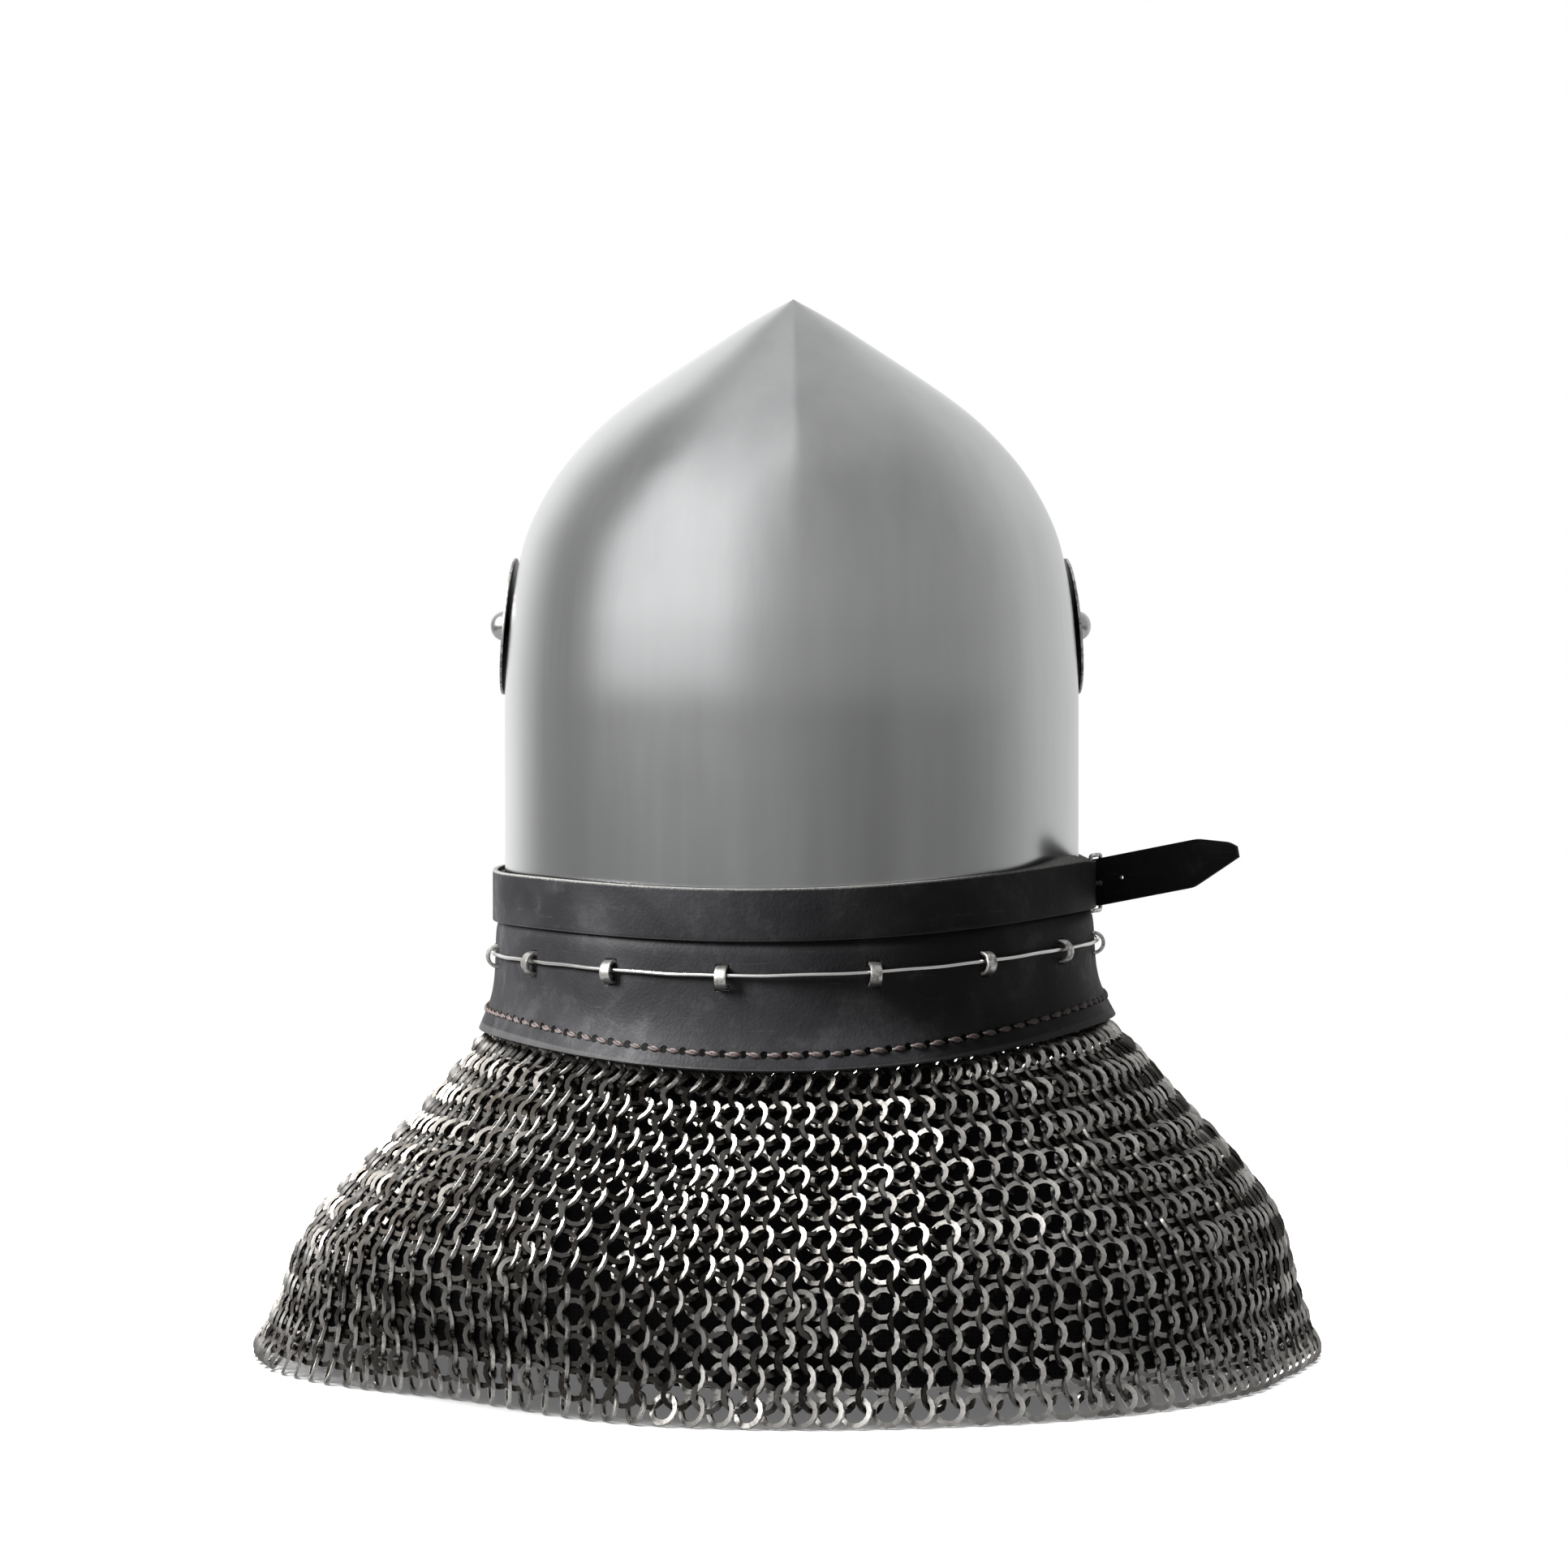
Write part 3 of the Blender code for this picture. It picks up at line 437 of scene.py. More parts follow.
class Finish(NodeTree):  # one material and its tree
    def __init__(self, name, **settings):
        self.material = bpy.data.materials.new(name)
        self.material.use_nodes = True
        super().__init__(self.material.node_tree)
        self.shader = self.tree.nodes["Principled BSDF"]
        self.here = self.node("ShaderNodeTexCoord", out="Object")
        self.set(**settings)

    def set(self, **values):
        for key, value in values.items():
            connect(self.tree, self.shader.inputs[key.replace("_", " ")], value)
        return self.material

    def noise(self, scale, detail=3, rough=0.5, vector=None, warp=0.0):
        return self.node(
            "ShaderNodeTexNoise", Vector=vector or self.here, Scale=scale, Detail=detail, Roughness=rough,
            Distortion=warp,
        )

    def streaks(self, scale, detail, rough):  # noise with a scale for each axis
        return self.noise(1, detail, rough, self.node("ShaderNodeMapping", Vector=self.here, Scale=scale))

    def mix(self, share, first, second):
        node = self.tree.nodes.new("ShaderNodeMix")
        node.data_type = "RGBA"
        for slot, value in ((0, share), (6, first), (7, second)):
            connect(self.tree, node.inputs[slot], value)
        return Reading(self.tree, node.outputs[2])

    def bump(self, height, distance, strength, **under):  # Normal=another bump, where one lies under it
        return self.node("ShaderNodeBump", Height=height, Distance=distance, Strength=strength, **under)


def polishedSteel():
    steel = Finish("polishedSteel", Metallic=1.0)
    streaks = steel.streaks((60, 60, 5), 4, 0.6)
    soft = steel.noise(14, 2, 0.5)
    fine = steel.streaks((900, 900, 120), 3, 0.6)
    clouds = steel.noise(7, 3, 0.5, warp=0.4)
    tone = steel.band(clouds * 0.6 + streaks * 0.4, 0.35, 0.65)
    return steel.set(
        Base_Color=steel.mix(tone, (0.545, 0.55, 0.555), (0.62, 0.625, 0.63)),
        Roughness=0.17 + streaks * 0.07 + soft * 0.05,
        Normal=steel.bump(fine, 0.00003, 0.35, Normal=steel.bump(soft, 0.0006, 0.25)),
    )


def wornSteel():
    steel = Finish("wornSteel", Metallic=1.0)
    grime = steel.band(steel.noise(500, 4, 0.6), 0.42, 0.62)
    scratches = steel.streaks((1500, 1500, 300), 3, 0.7)
    return steel.set(
        Base_Color=steel.mix(grime, (0.66, 0.65, 0.63), (0.26, 0.25, 0.235)),
        Roughness=0.28 + grime * 0.22 + scratches * 0.1,
        Normal=steel.bump(steel.noise(900, 3, 0.6), 0.0001, 0.4),
    )


def brightWire():
    steel = Finish("brightWire", Metallic=1.0)
    return steel.set(
        Base_Color=steel.mix(steel.noise(160, 2), (0.86, 0.85, 0.83), (0.66, 0.65, 0.64)),
        Roughness=0.20 + steel.noise(250, 2) * 0.10,
        Normal=steel.bump(steel.noise(300, 2), 0.00003, 0.2),
    )


def ringSteel():  # the ring tone attribute runs from dark to bright: a random tone ring by ring, plus painted shade on every other row, where neighbours overlap each ring's top and bottom, and along its inner edge
    steel = Finish("ringSteel", Metallic=1.0)
    tone = steel.node("ShaderNodeAttribute", {"attribute_name": "ringTone"}, out="Fac")
    grime = steel.band(steel.noise(420, 3, 0.6), 0.44, 0.64)
    shade = steel.mix(tone, (0.040, 0.036, 0.032), (0.93, 0.905, 0.87))
    return steel.set(
        Base_Color=steel.mix(grime * 0.35, shade, (0.10, 0.093, 0.085)),
        Roughness=0.26 + grime * 0.16,
        Normal=steel.bump(steel.noise(1200, 2), 0.00006, 0.3),
    )


def blackPlate():
    plate = Finish("blackPlate", Metallic=0.4)
    worn = plate.band(plate.noise(120, 4, 0.6), 0.62, 0.76)
    return plate.set(
        Base_Color=plate.mix(worn, (0.010, 0.010, 0.012), (0.03, 0.03, 0.032)),
        Roughness=0.36 + worn * 0.15,
        Normal=plate.bump(plate.noise(400, 3), 0.00004, 0.25),
    )


def charcoalLeather(name, edgeLow, edgeHigh, holes=None):
    # UV runs along the strap and up from its lower edge, in metres
    hide = Finish(name)
    hide.shader.inputs["Specular IOR Level"].default_value = 0.06
    uv = hide.node("ShaderNodeUVMap", {"uv_map": "UVMap"})
    along, upward, _ = hide.parts(uv)
    grain = hide.node(
        "ShaderNodeTexVoronoi", {"feature": "SMOOTH_F1"}, Vector=hide.here, Scale=900, Smoothness=0.6)
    pores = hide.noise(1600, 3, 0.6)
    clouds = hide.noise(28, 4, 0.55, warp=0.3)
    rubbed = hide.band(hide.noise(110, 5, 0.7) * 0.6 + clouds * 0.4, 0.50, 0.66)
    scratches = hide.band(hide.streaks((40, 40, 900), 4, 0.7), 0.62, 0.74)
    colour = hide.mix(hide.band(clouds, 0.35, 0.65), (0.0075, 0.0075, 0.0082), (0.0145, 0.0145, 0.0155))
    colour = hide.mix(rubbed * 0.40, colour, (0.034, 0.034, 0.036))
    colour = hide.mix(scratches * 0.25, colour, (0.060, 0.060, 0.060))
    fuzz = hide.noise(1300, 4, 0.8)
    edge = hide.band(upward + (fuzz - 0.5) * 0.0012, edgeHigh - 0.0009, edgeHigh - 0.0001)
    edge = edge + hide.band(upward + (fuzz - 0.5) * 0.0008, edgeLow + 0.0005, edgeLow, 0.0, 0.12)
    colour = hide.mix(edge * 0.8, colour, hide.mix(fuzz, (0.045, 0.045, 0.045), (0.30, 0.295, 0.28)))
    relief = grain * 0.6 + pores * 0.4 + fuzz * edge * 2.0
    if holes:
        colour, relief = holes(hide, along, upward, colour, relief)
    return hide.set(
        Base_Color=colour,
        Roughness=0.48 + pores * 0.12 - rubbed * 0.10,
        Normal=hide.bump(relief, 0.00025, 0.45, Normal=hide.bump(clouds, 0.0012, 0.3)),
    )


def waxedThread():
    thread = Finish("waxedThread")
    lay = thread.streaks((2500, 2500, 900), 3, 0.7)
    return thread.set(
        Base_Color=thread.mix(lay, (0.014, 0.009, 0.008), (0.060, 0.040, 0.035)),
        Roughness=0.5 + lay * 0.15,
        Normal=thread.bump(lay, 0.0003, 0.6),
    )


def liningCloth():
    cloth = Finish("liningCloth")
    cloth.shader.inputs["Specular IOR Level"].default_value = 0.15
    uv = cloth.node("ShaderNodeUVMap", {"uv_map": "UVMap"})
    warp, weft = (
        cloth.node(
            "ShaderNodeTexWave", {"bands_direction": way}, out="Fac", Vector=uv, Scale=160, Distortion=0.6)
        for way in "XY")
    weave = warp.maths("MAXIMUM", warp, weft)
    return cloth.set(
        Base_Color=cloth.mix(weave, (0.0015, 0.0015, 0.0017), (0.005, 0.005, 0.0055)),
        Roughness=0.85 + cloth.noise(60, 2) * 0.1,
        Normal=cloth.bump(weave, 0.0003, 0.5),
    )


finishes = {
    "skull": polishedSteel(), "worn": wornSteel(), "wire": brightWire(), "ring": ringSteel(),
    "plate": blackPlate(), "thread": waxedThread(), "cloth": liningCloth(),
}
print("finishes mixed")


# skull
skull = {
    "columns": 256, "rows": 150, "bunch": 1.35,
    "footHalf": 0.064, "half": 0.070, "sideUp": 0.075, "up": 0.115, "below": 0.01, "archDeep": 0.3,
}
domeTop = rim + helmet["height"]


def skullPlace(i, j):  # the rows bunch towards the point
    share = j / skull["rows"]
    height = rim + helmet["height"] * (1 - (1 - share) ** skull["bunch"])
    height = np.where(share >= 1, domeTop, height)
    return skullPoints(i / skull["columns"] * 2 * pi, height)


shell = bentGrid("steelSkull", skull["columns"], skull["rows"], skullPlace)
inEdit(shell, weld(1e-5), facesOut)
wall(shell, helmet["wall"], -1)

# the face opening: a flat arch, drawn out through the front
arch = fresh(bpy.ops.mesh.primitive_circle_add, vertices=96, radius=1, fill_type="NGON")
circle = corners(arch)
angle = np.arctan2(circle[:, 1], circle[:, 0])
spring, rise = rim + skull["sideUp"], skull["up"] - skull["sideUp"]
archCorners = np.zeros_like(circle)
above = angle >= 0
archCorners[:, 0] = np.where(above, skull["half"] * np.cos(angle), 0)
archCorners[:, 2] = np.where(above, spring + rise * np.sin(angle), 0)
lower = ~above
along = (np.pi + angle[lower]) / np.pi  # from the left spring round the foot to the right one
footZ = rim - skull["below"]
turnings = (0, 0.35, 0.65, 1)
archCorners[lower, 0] = np.interp(
    along, turnings, (-skull["half"], -skull["footHalf"], skull["footHalf"], skull["half"]))
archCorners[lower, 2] = np.interp(along, turnings, (spring, footZ, footZ, spring))
archCorners[:, 0] += helmet["axisX"]
archCorners[:, 1] = helmet["axisY"]
setCorners(arch, archCorners)
inEdit(
    arch,
    lambda: bpy.ops.mesh.extrude_region_move(TRANSFORM_OT_translate={"value": (0, skull["archDeep"], 0)}),
    lambda: bpy.ops.mesh.select_all(action="SELECT"),
    facesOut,
)
cutAway(shell, arch)
softEdges(shell, 0.0006, 55, 2)
smooth(shell, 40)
handIn(shell, "skull_steel", finishes["skull"], "skull")
print("skull raised")

# pivot plates and bolts at the temples
pivot = {
    "turn": 95, "above": 0.1297, "plate": 0.0246, "thick": 0.001, "dish": 0.0002,
    "filedEdge": 0.0003, "insets": 6, "inset": 0.0034,
    "head": 0.0055, "high": 0.006, "shank": 0.003, "innerHead": 0.0012, "innerGap": 0.0009,
}
bothSides = ((-1, "left"), (1, "right"))


def domedBolt(name, sizes, seat, base):  # domed head, shank through the wall, low nut inside
    head, inner = sizes["head"], pivot["innerHead"]
    inside = -helmet["wall"] - pivot["innerGap"]
    cap = fresh(bpy.ops.mesh.primitive_uv_sphere_add, segments=40, ring_count=20, radius=head)
    co = corners(cap)
    under = co[:, 2] < -1e-6
    co[:, 2] = sizes["high"] * np.clip(co[:, 2] / head, 0, 1) ** 0.85
    co[under, 0:2] *= 0.5
    setCorners(cap, co + (0, 0, seat))
    stem = cylinder(32, sizes["shank"], seat - inside, (seat + inside) / 2)
    nut = cylinder(40, head, inner, inside - inner / 2)
    softEdges(nut, inner * 0.35, 40, 3)
    bolt = joined(name, [cap, stem, nut])
    smooth(bolt, 45)
    return placed(bolt, base)


for side, word in bothSides:
    base = skullFrame(side * radians(pivot["turn"]), rim + pivot["above"])
    plate = cylinder(96, pivot["plate"], pivot["thick"])
    only(plate)
    bpy.ops.object.mode_set(mode="EDIT")
    bpy.ops.mesh.select_mode(type="FACE")
    bpy.ops.mesh.select_all(action="DESELECT")
    bpy.ops.object.mode_set(mode="OBJECT")
    for face in plate.data.polygons:
        face.select = abs(face.normal.z) > 0.9
    bpy.ops.object.mode_set(mode="EDIT")
    for step in range(pivot["insets"]):
        bpy.ops.mesh.inset(thickness=pivot["inset"], use_individual=True)
    bpy.ops.object.mode_set(mode="OBJECT")
    softEdges(plate, 0.00035, 50, 2)
    co = corners(plate)
    fromMiddle = np.hypot(co[:, 0], co[:, 1]) / pivot["plate"]
    co[:, 2] += gap + pivot["thick"] / 2 - pivot["dish"] * fromMiddle ** 2
    setCorners(plate, co)
    plate.name = plate.data.name = "templePlate_" + word
    smooth(plate, 40)
    placed(plate, base)
    handIn(plate, "black_plate", [finishes["plate"], finishes["worn"]], "pivot_plate_" + word)
    for face in plate.data.polygons:  # the filed rim shows bare steel
        middle = base.inverted() @ face.center
        atEdge = hypot(middle.x, middle.y) > pivot["plate"] - pivot["filedEdge"]
        if atEdge and abs(face.normal @ base.to_3x3().col[2]) < 0.8:
            face.material_index = 1
    bolt = domedBolt("templeBolt_" + word, pivot, 2 * gap + pivot["thick"], base)
    handIn(bolt, "skull_steel", finishes["skull"], "pivot_bolt_" + word)
print("temple plates and bolts on")

# collar band
staples = {
    "first": 12.5, "step": 22.5, "pairs": 6, "above": 0.0117, "width": 0.004, "strip": 0.0012, "bow": 0.00415,
}
stapleTurns = [radians(staples["first"] + n * staples["step"]) for n in range(staples["pairs"])]
stapleTurns = sorted([-t for t in stapleTurns] + stapleTurns)


def stapleHeight(turn):
    return collarHeight(turn, staples["above"])


def leatherFace(turn, below=0.0):
    return bandOffset(turn, stapleHeight(turn) - below) + collar["thick"]


bandEnd = radians(collar["end"])
bandColumns, bandRows = 420, 44
fineTurn = np.linspace(-bandEnd, bandEnd, 2001)
fineStitch = around(
    fineTurn, bandOffset(fineTurn, stitchHeight(fineTurn)) + collar["thick"], stitchHeight(fineTurn))
stitchLength = lengthAlong(fineStitch)
stitchCount = int(stitchLength[-1] / collar["stitchPitch"])
stitchPitch = stitchLength[-1] / stitchCount


def bandTurn(i):
    return -bandEnd + 2 * bandEnd * i / bandColumns


def bandHeight(turn, j):
    bottom = bandBottom(turn)
    return bottom + (collarHeight(turn, collar["above"]) - bottom) * (j / bandRows)


def bandPlace(i, j):
    turn = bandTurn(i)
    height = bandHeight(turn, j)
    return around(turn, bandOffset(turn, height), height)


def bandPaint(i, j):
    turn = bandTurn(i)
    return np.interp(turn, fineTurn, stitchLength), bandHeight(turn, j) - stitchHeight(turn)


def stitchHoles(hide, along, upward, colour, relief):  # a dimple at each end of each stitch, painted near black as the shade inside a deep hole
    phase = along.maths("FRACT", along / stitchPitch + 0.5) - 0.5
    upSeam = upward + collar["seamLow"]  # the outer face slants, so its seam sits lower in the UV
    far = (((phase * stitchPitch) ** 2) * 0.8 + upSeam ** 2) ** 0.5
    hole = hide.band(far, 0.0014, 0.0010)
    pucker = hide.band(abs(upSeam), 0.0022, 0.0)
    hide.set(Metallic=hole)  # painted shade: the hole is also made a black metal, which mirrors nothing, so it reads as a deep shaded hole
    return hide.mix(hole, colour, (0.002, 0.002, 0.002)), relief - hole * 2.0 - pucker * 0.8


band = bentGrid("leatherCollar", bandColumns, bandRows, bandPlace, bandPaint)
wall(band, collar["thick"], 1)
slits = []
for turn in stapleTurns:
    for share in (-1, 1):
        middle = around(turn, leatherFace(turn) - collar["thick"] / 2, stapleHeight(turn))
        base = standOn(middle, outward(turn))
        size = (staples["width"] + 0.001, staples["strip"] + 0.0007, 0.008)
        slits.append(block(size, (0, share * (staples["bow"] - staples["strip"] / 2), 0), base))
cutAway(band, joined("slits", slits))
softEdges(band, 0.0005, 55, 2)
smooth(band, 50)
handIn(band, "leather", charcoalLeather("collarLeather", -0.0056, 0.2, stitchHoles), "collar_band")
print("collar band cut")

# the stitches that carry the mail, each of two strands twisted together
yarn = {
    "reach": 0.92, "fat": 0.00056, "lift": 0.0004, "dive": 0.0016, "across": 0.00048, "over": 0.00026,
    "twist": 0.9, "swing": 0.07, "uneven": 0.06,
}


def strandPlace(i, j):
    share, spin = i / 12, j / 8 * 2 * pi
    fromMiddle = np.abs(2 * share - 1)
    fat = yarn["fat"] * (1 - 0.5 * fromMiddle ** 3)
    lift = yarn["lift"] - yarn["dive"] * fromMiddle ** 4
    twist = share * 2 * pi * yarn["twist"]
    return np.stack([
        (share - 0.5) * stitchPitch * yarn["reach"],
        fat * np.cos(spin) + yarn["across"] * np.cos(twist),
        fat * np.sin(spin) + lift + yarn["over"] * np.sin(twist),
    ], -1)


def onSeam(turn):
    height = stitchHeight(turn)
    return around(turn, bandOffset(turn, height) + collar["thick"], height)


strand = bentGrid("strand", 12, 8, strandPlace)
inEdit(strand, weld(1e-6), facesOut)
smooth(strand, 180)
twin = copied(strand, Matrix.Diagonal((-1, -1, 1, 1)))
stitch = joined("stitch", [strand, twin])
thread = []
for n in range(stitchCount):
    middle = np.interp((n + 0.5) * stitchPitch, stitchLength, fineTurn)
    height = stitchHeight(middle)
    slopeUp = bandOffset(middle, height - 0.001) - bandOffset(middle, height + 0.001)
    at = onSeam(middle)
    ownX = Vector(onSeam(middle + 0.02) - at).normalized()
    out = (Vector(outward(middle)) + Vector((0, 0, float(slopeUp) / 0.002))).normalized()
    base = standing(at, ownX, out.cross(ownX).normalized())
    wobble = Matrix.Rotation(dice.normal(0, yarn["swing"]), 4, "Z")
    wobble = wobble @ Matrix.Scale(1 + dice.normal(0, yarn["uneven"]), 4)
    thread.append(copied(stitch, base @ wobble))
bpy.data.objects.remove(stitch)
seam = joined("waxedStitches", thread)
handIn(seam, "leather", finishes["thread"])
print("stitches sewn:", stitchCount)

# staples and their wire
bow = staples["bow"] - staples["strip"] / 2
legs = 0.0042


def stapleLine(share):  # from the lower leg round the bow to the upper leg
    whole = 2 * legs + pi * bow
    run = share * whole
    angle = np.clip((run - legs) / bow, 0, pi) - pi / 2
    leg = np.minimum(run - legs, 0) + np.minimum(legs + pi * bow - run, 0)
    return bow * np.sin(angle), bow * np.cos(angle) + leg


def staplePlace(i, j):
    upward, out = stapleLine(i / 32)
    return np.stack([(j / 4 - 0.5) * staples["width"], upward, out], -1)


pattern = bentGrid("staple", 32, 4, staplePlace)
wall(pattern, staples["strip"], 0)
softEdges(pattern, 0.0003, 40, 2)
inEdit(pattern, facesOut)
smooth(pattern, 40)
for number, turn in enumerate(stapleTurns, 1):
    base = standOn(around(turn, leatherFace(turn) - 0.0001, stapleHeight(turn)), outward(turn))
    base = base @ Matrix.Rotation(dice.normal(0, 0.05), 4, "Z") @ Matrix.Rotation(dice.normal(0, 0.04), 4, "Y")
    one = copied(pattern, base)
    one.name = one.data.name = f"vervelle_{number:02d}"
    handIn(one, "worn_steel", finishes["worn"], f"staple_{number:02d}")
bpy.data.objects.remove(pattern)

wire = {"radius": 0.0007, "standOff": 0.0005, "past": 4.5, "wave": 0.00012, "up": 0.0009}
wireEnd = stapleTurns[-1] + radians(wire["past"])
turns = np.linspace(-wireEnd, wireEnd, 300)
near = np.min(np.abs(turns[:, None] - np.array(stapleTurns)), axis=1) / radians(staples["step"] / 2)
wave = wire["wave"] * np.sin(turns * 23 + 1.0) * np.clip(near * 1.5, 0, 1)
clear = wire["standOff"] + wire["radius"]
route = around(turns, leatherFace(turns) + clear, stapleHeight(turns) + wire["up"] + wave)


def tail(end, low):  # the wire's ends turn down
    return around(end, leatherFace(end, low) + clear, stapleHeight(end) + wire["up"] - low)


bend = ((wireEnd + 0.006, 0.0012), (wireEnd + 0.008, 0.0042))
route = np.concatenate((
    [tail(-end, low) for end, low in reversed(bend)], route, [tail(end, low) for end, low in bend]))
lace = bentRod("lacingWire", route, wire["radius"])
handIn(lace, "wire_steel", finishes["wire"], "lacing_wire")
print("staples and wire in")

# buckle and straps
thinFold = strap["wire"] + gap + strap["skived"] / 2
# the bar lies on the skived end
buckleSeat = 2 * gap + collar["thick"] + strap["skived"] / 2 + thinFold
buckleTurn = radians(strap["buckle"])
buckle = {"long": 0.0115, "play": 0.0003, "prong": 0.0007, "tilt": 21}
buckleBase = standOn(
    around(buckleTurn, buckleSeat, strapHeight(buckleTurn) - strap["dip"]), outward(buckleTurn))
tiltedBase = buckleBase @ Matrix.Rotation(-radians(buckle["tilt"]), 4, "Y")
tongue = {
    "width": 0.0167, "free": 0.0575, "swing": 30, "lift": 11.2, "taper": 0.0195,
    "hole": 0.0007, "holeAt": 0.011, "root": 127.5,
}
bends = ((0.00, 1.35), (0.00, 1.00), (0.22, 0.80), (0.85, 0.64), (1.75, 0.54))
tipRows = ((1.00, 1.00, 1.00), (0.75, 0.78, 1.00), (0.13, 0.22, 0.60), (0.00, 0.10, 0.36))


def evenly(points, count):  # the same line through evenly spaced points, gently rounded
    points = np.array(points, float)
    run = lengthAlong(points[:, :3])
    at = np.linspace(0, run[-1], count)
    line = np.stack([np.interp(at, run, points[:, k]) for k in range(points.shape[1])], -1)
    for _ in range(3):
        line[1:-1] = (line[:-2] + 2 * line[1:-1] + line[2:]) / 4
    return line, at


def leatherStrip(name, stations, count, width, thick, across=14, thinFrom=None):
    line, run = evenly(stations, count + 1)
    middle, below, above = line[:, :3], line[:, 3], line[:, 4]
    tangent = unit(np.gradient(middle, axis=0))
    upright = unit(np.array([0, 0, 1]) - tangent * tangent[:, 2:3])

    def place(i, j):
        k, share = i.astype(int), (j / across)[:, None]
        reach = -below[k][:, None] * (1 - share) + above[k][:, None] * share
        return middle[k] + upright[k] * reach

    def paint(i, j):
        k = i.astype(int)
        return run[k], (below[k] + above[k]) * j / across + width / 2 - below[k]

    piece = bentGrid(name, count, across, place, paint)
    if thinFrom is None:
        wall(piece, thick, 0)
        return piece
    group = piece.vertex_groups.new(name="full")  # full thickness up to the fold, skived from there on
    for k in range(count + 1):
        weight = 1 - float(softStep((run[k] / run[-1] - thinFrom) / 0.04))
        group.add(list(range(k, len(piece.data.vertices), count + 1)), weight, "REPLACE")
    addModifier(
        piece, "SOLIDIFY", thickness=thick, offset=0, use_even_offset=True, vertex_group="full",
        thickness_vertex_group=strap["skived"] / thick,
    )
    return piece


half = strap["width"] / 2
start = radians(strap["lift"])
stations = []


def bulgeAt(turn):  # the top edge stands up where the strap leaves the band
    apart = (degrees(turn) - strap["bulgeTurn"]) / strap["bulgeSpread"]
    return strap["bulge"] * exp(-(apart ** 2))


for turn in np.radians(np.arange(strap["left"], strap["lift"], 1.5)):
    stations.append((*around(turn, strapLine, strapHeight(turn)), half, half + bulgeAt(turn)))
for share in np.linspace(0, 0.93, 12):
    turn = start + share * (buckleTurn - start)
    rise = float(softStep(share / 0.93)) if share else 0.0
    raised = (buckleSeat + thinFold - strapLine) * rise
    place = around(turn, strapLine + raised, strapHeight(turn) - strap["dip"] * rise)
    stations.append((*place, half - strap["narrow"] * rise, half + bulgeAt(turn) - strap["narrow"] * rise))
for bent in range(90, -91, -10):
    a = radians(bent)
    place = buckleBase @ Vector((thinFold * cos(a), 0, thinFold * sin(a)))
    stations.append((*place, half - strap["narrow"], half - strap["narrow"]))
for share in (0.93, 0.84, 0.75):
    turn = start + share * (buckleTurn - start)
    place = around(turn, buckleSeat - thinFold, strapHeight(turn) - strap["dip"])
    stations.append((*place, half - strap["narrow"], half - strap["narrow"]))
neckStrap = leatherStrip("neckStrap", stations, 420, strap["width"], strap["thick"], thinFrom=0.90)
prongRoom = buckle["prong"] + gap
cutAway(neckStrap, block((0.0058, 2 * prongRoom, 0.012), (0.0009, 0, 0), buckleBase))
softEdges(neckStrap, 0.00045, 55, 2)
smooth(neckStrap, 50)
strapLeather = charcoalLeather("strapLeather", 0.0, strap["width"])
handIn(neckStrap, "leather", strapLeather, "neck_strap")

half = tongue["width"] / 2
level = cos(radians(tongue["lift"]))
away = buckleBase.to_3x3() @ Vector((
    -level * sin(radians(tongue["swing"])), sin(radians(tongue["lift"])),
    level * cos(radians(tongue["swing"]))))
deep = buckleSeat - strapLine
leaving = [
    buckleBase @ Vector((forward * buckle["long"], 0, out * strap["thick"] - deep)) for out, forward in bends]
stations = [(*around(turn, strapLine, strapHeight(turn)), half, half)
            for turn in np.radians(np.arange(tongue["root"], 101, -2.5))]
stations += [(*place, half, half) for place in leaving]
plain = tongue["free"] - tongue["taper"]
stations.append((*(leaving[-1] + away * plain / 2), half, half))
for left, below, above in tipRows:
    place = leaving[-1] + away * (tongue["free"] - tongue["taper"] * left)
    stations.append((*place, half * below, half * above))
tongueStrap = leatherStrip("tongueStrap", stations, 200, tongue["width"], strap["thick"])
holes = []
outside = strap["wire"] + gap + buckle["prong"]
for place, axis, radius in (
    (leaving[-1] + away * tongue["holeAt"], away.cross(Vector((0, 0, 1))), tongue["hole"]),
    (tiltedBase @ Vector((buckle["long"] / 2, 0, outside)), tiltedBase.to_3x3() @ Vector((1, 0, 0)),
     prongRoom),
):
    holes.append(placed(cylinder(24, radius, 0.0075), standOn(place, axis)))
cutAway(tongueStrap, joined("holes", holes))
softEdges(tongueStrap, 0.00045, 55, 2)
smooth(tongueStrap, 50)
handIn(tongueStrap, "leather", charcoalLeather("tongueLeather", 0.0, 0.2), "tongue_strap")

corner = 2 * strap["wire"]
tall = strap["width"] / 2 + buckle["play"] + strap["wire"]
route = []
for x, y, first in ((buckle["long"] - corner, tall - corner, 0), (corner, tall - corner, 90),
                    (corner, corner - tall, 180), (buckle["long"] - corner, corner - tall, 270)):
    for step in range(7):
        a = radians(first + 15 * step)
        route.append(tiltedBase @ Vector((x + corner * cos(a), y + corner * sin(a), 0)))
buckleFrame = bentRod("buckleFrame", route, strap["wire"], closed=True, sides=4)
handIn(buckleFrame, "worn_steel", finishes["worn"], "buckle_frame")
route = [tiltedBase @ Vector((outside * cos(radians(a)), 0, outside * sin(radians(a))))
         for a in range(-60, -271, -15)]
route.append(tiltedBase @ Vector((buckle["long"] + strap["wire"], 0, outside)))
prong = bentRod("buckleProng", route, buckle["prong"], sides=4)
handIn(prong, "worn_steel", finishes["worn"], "buckle_prong")

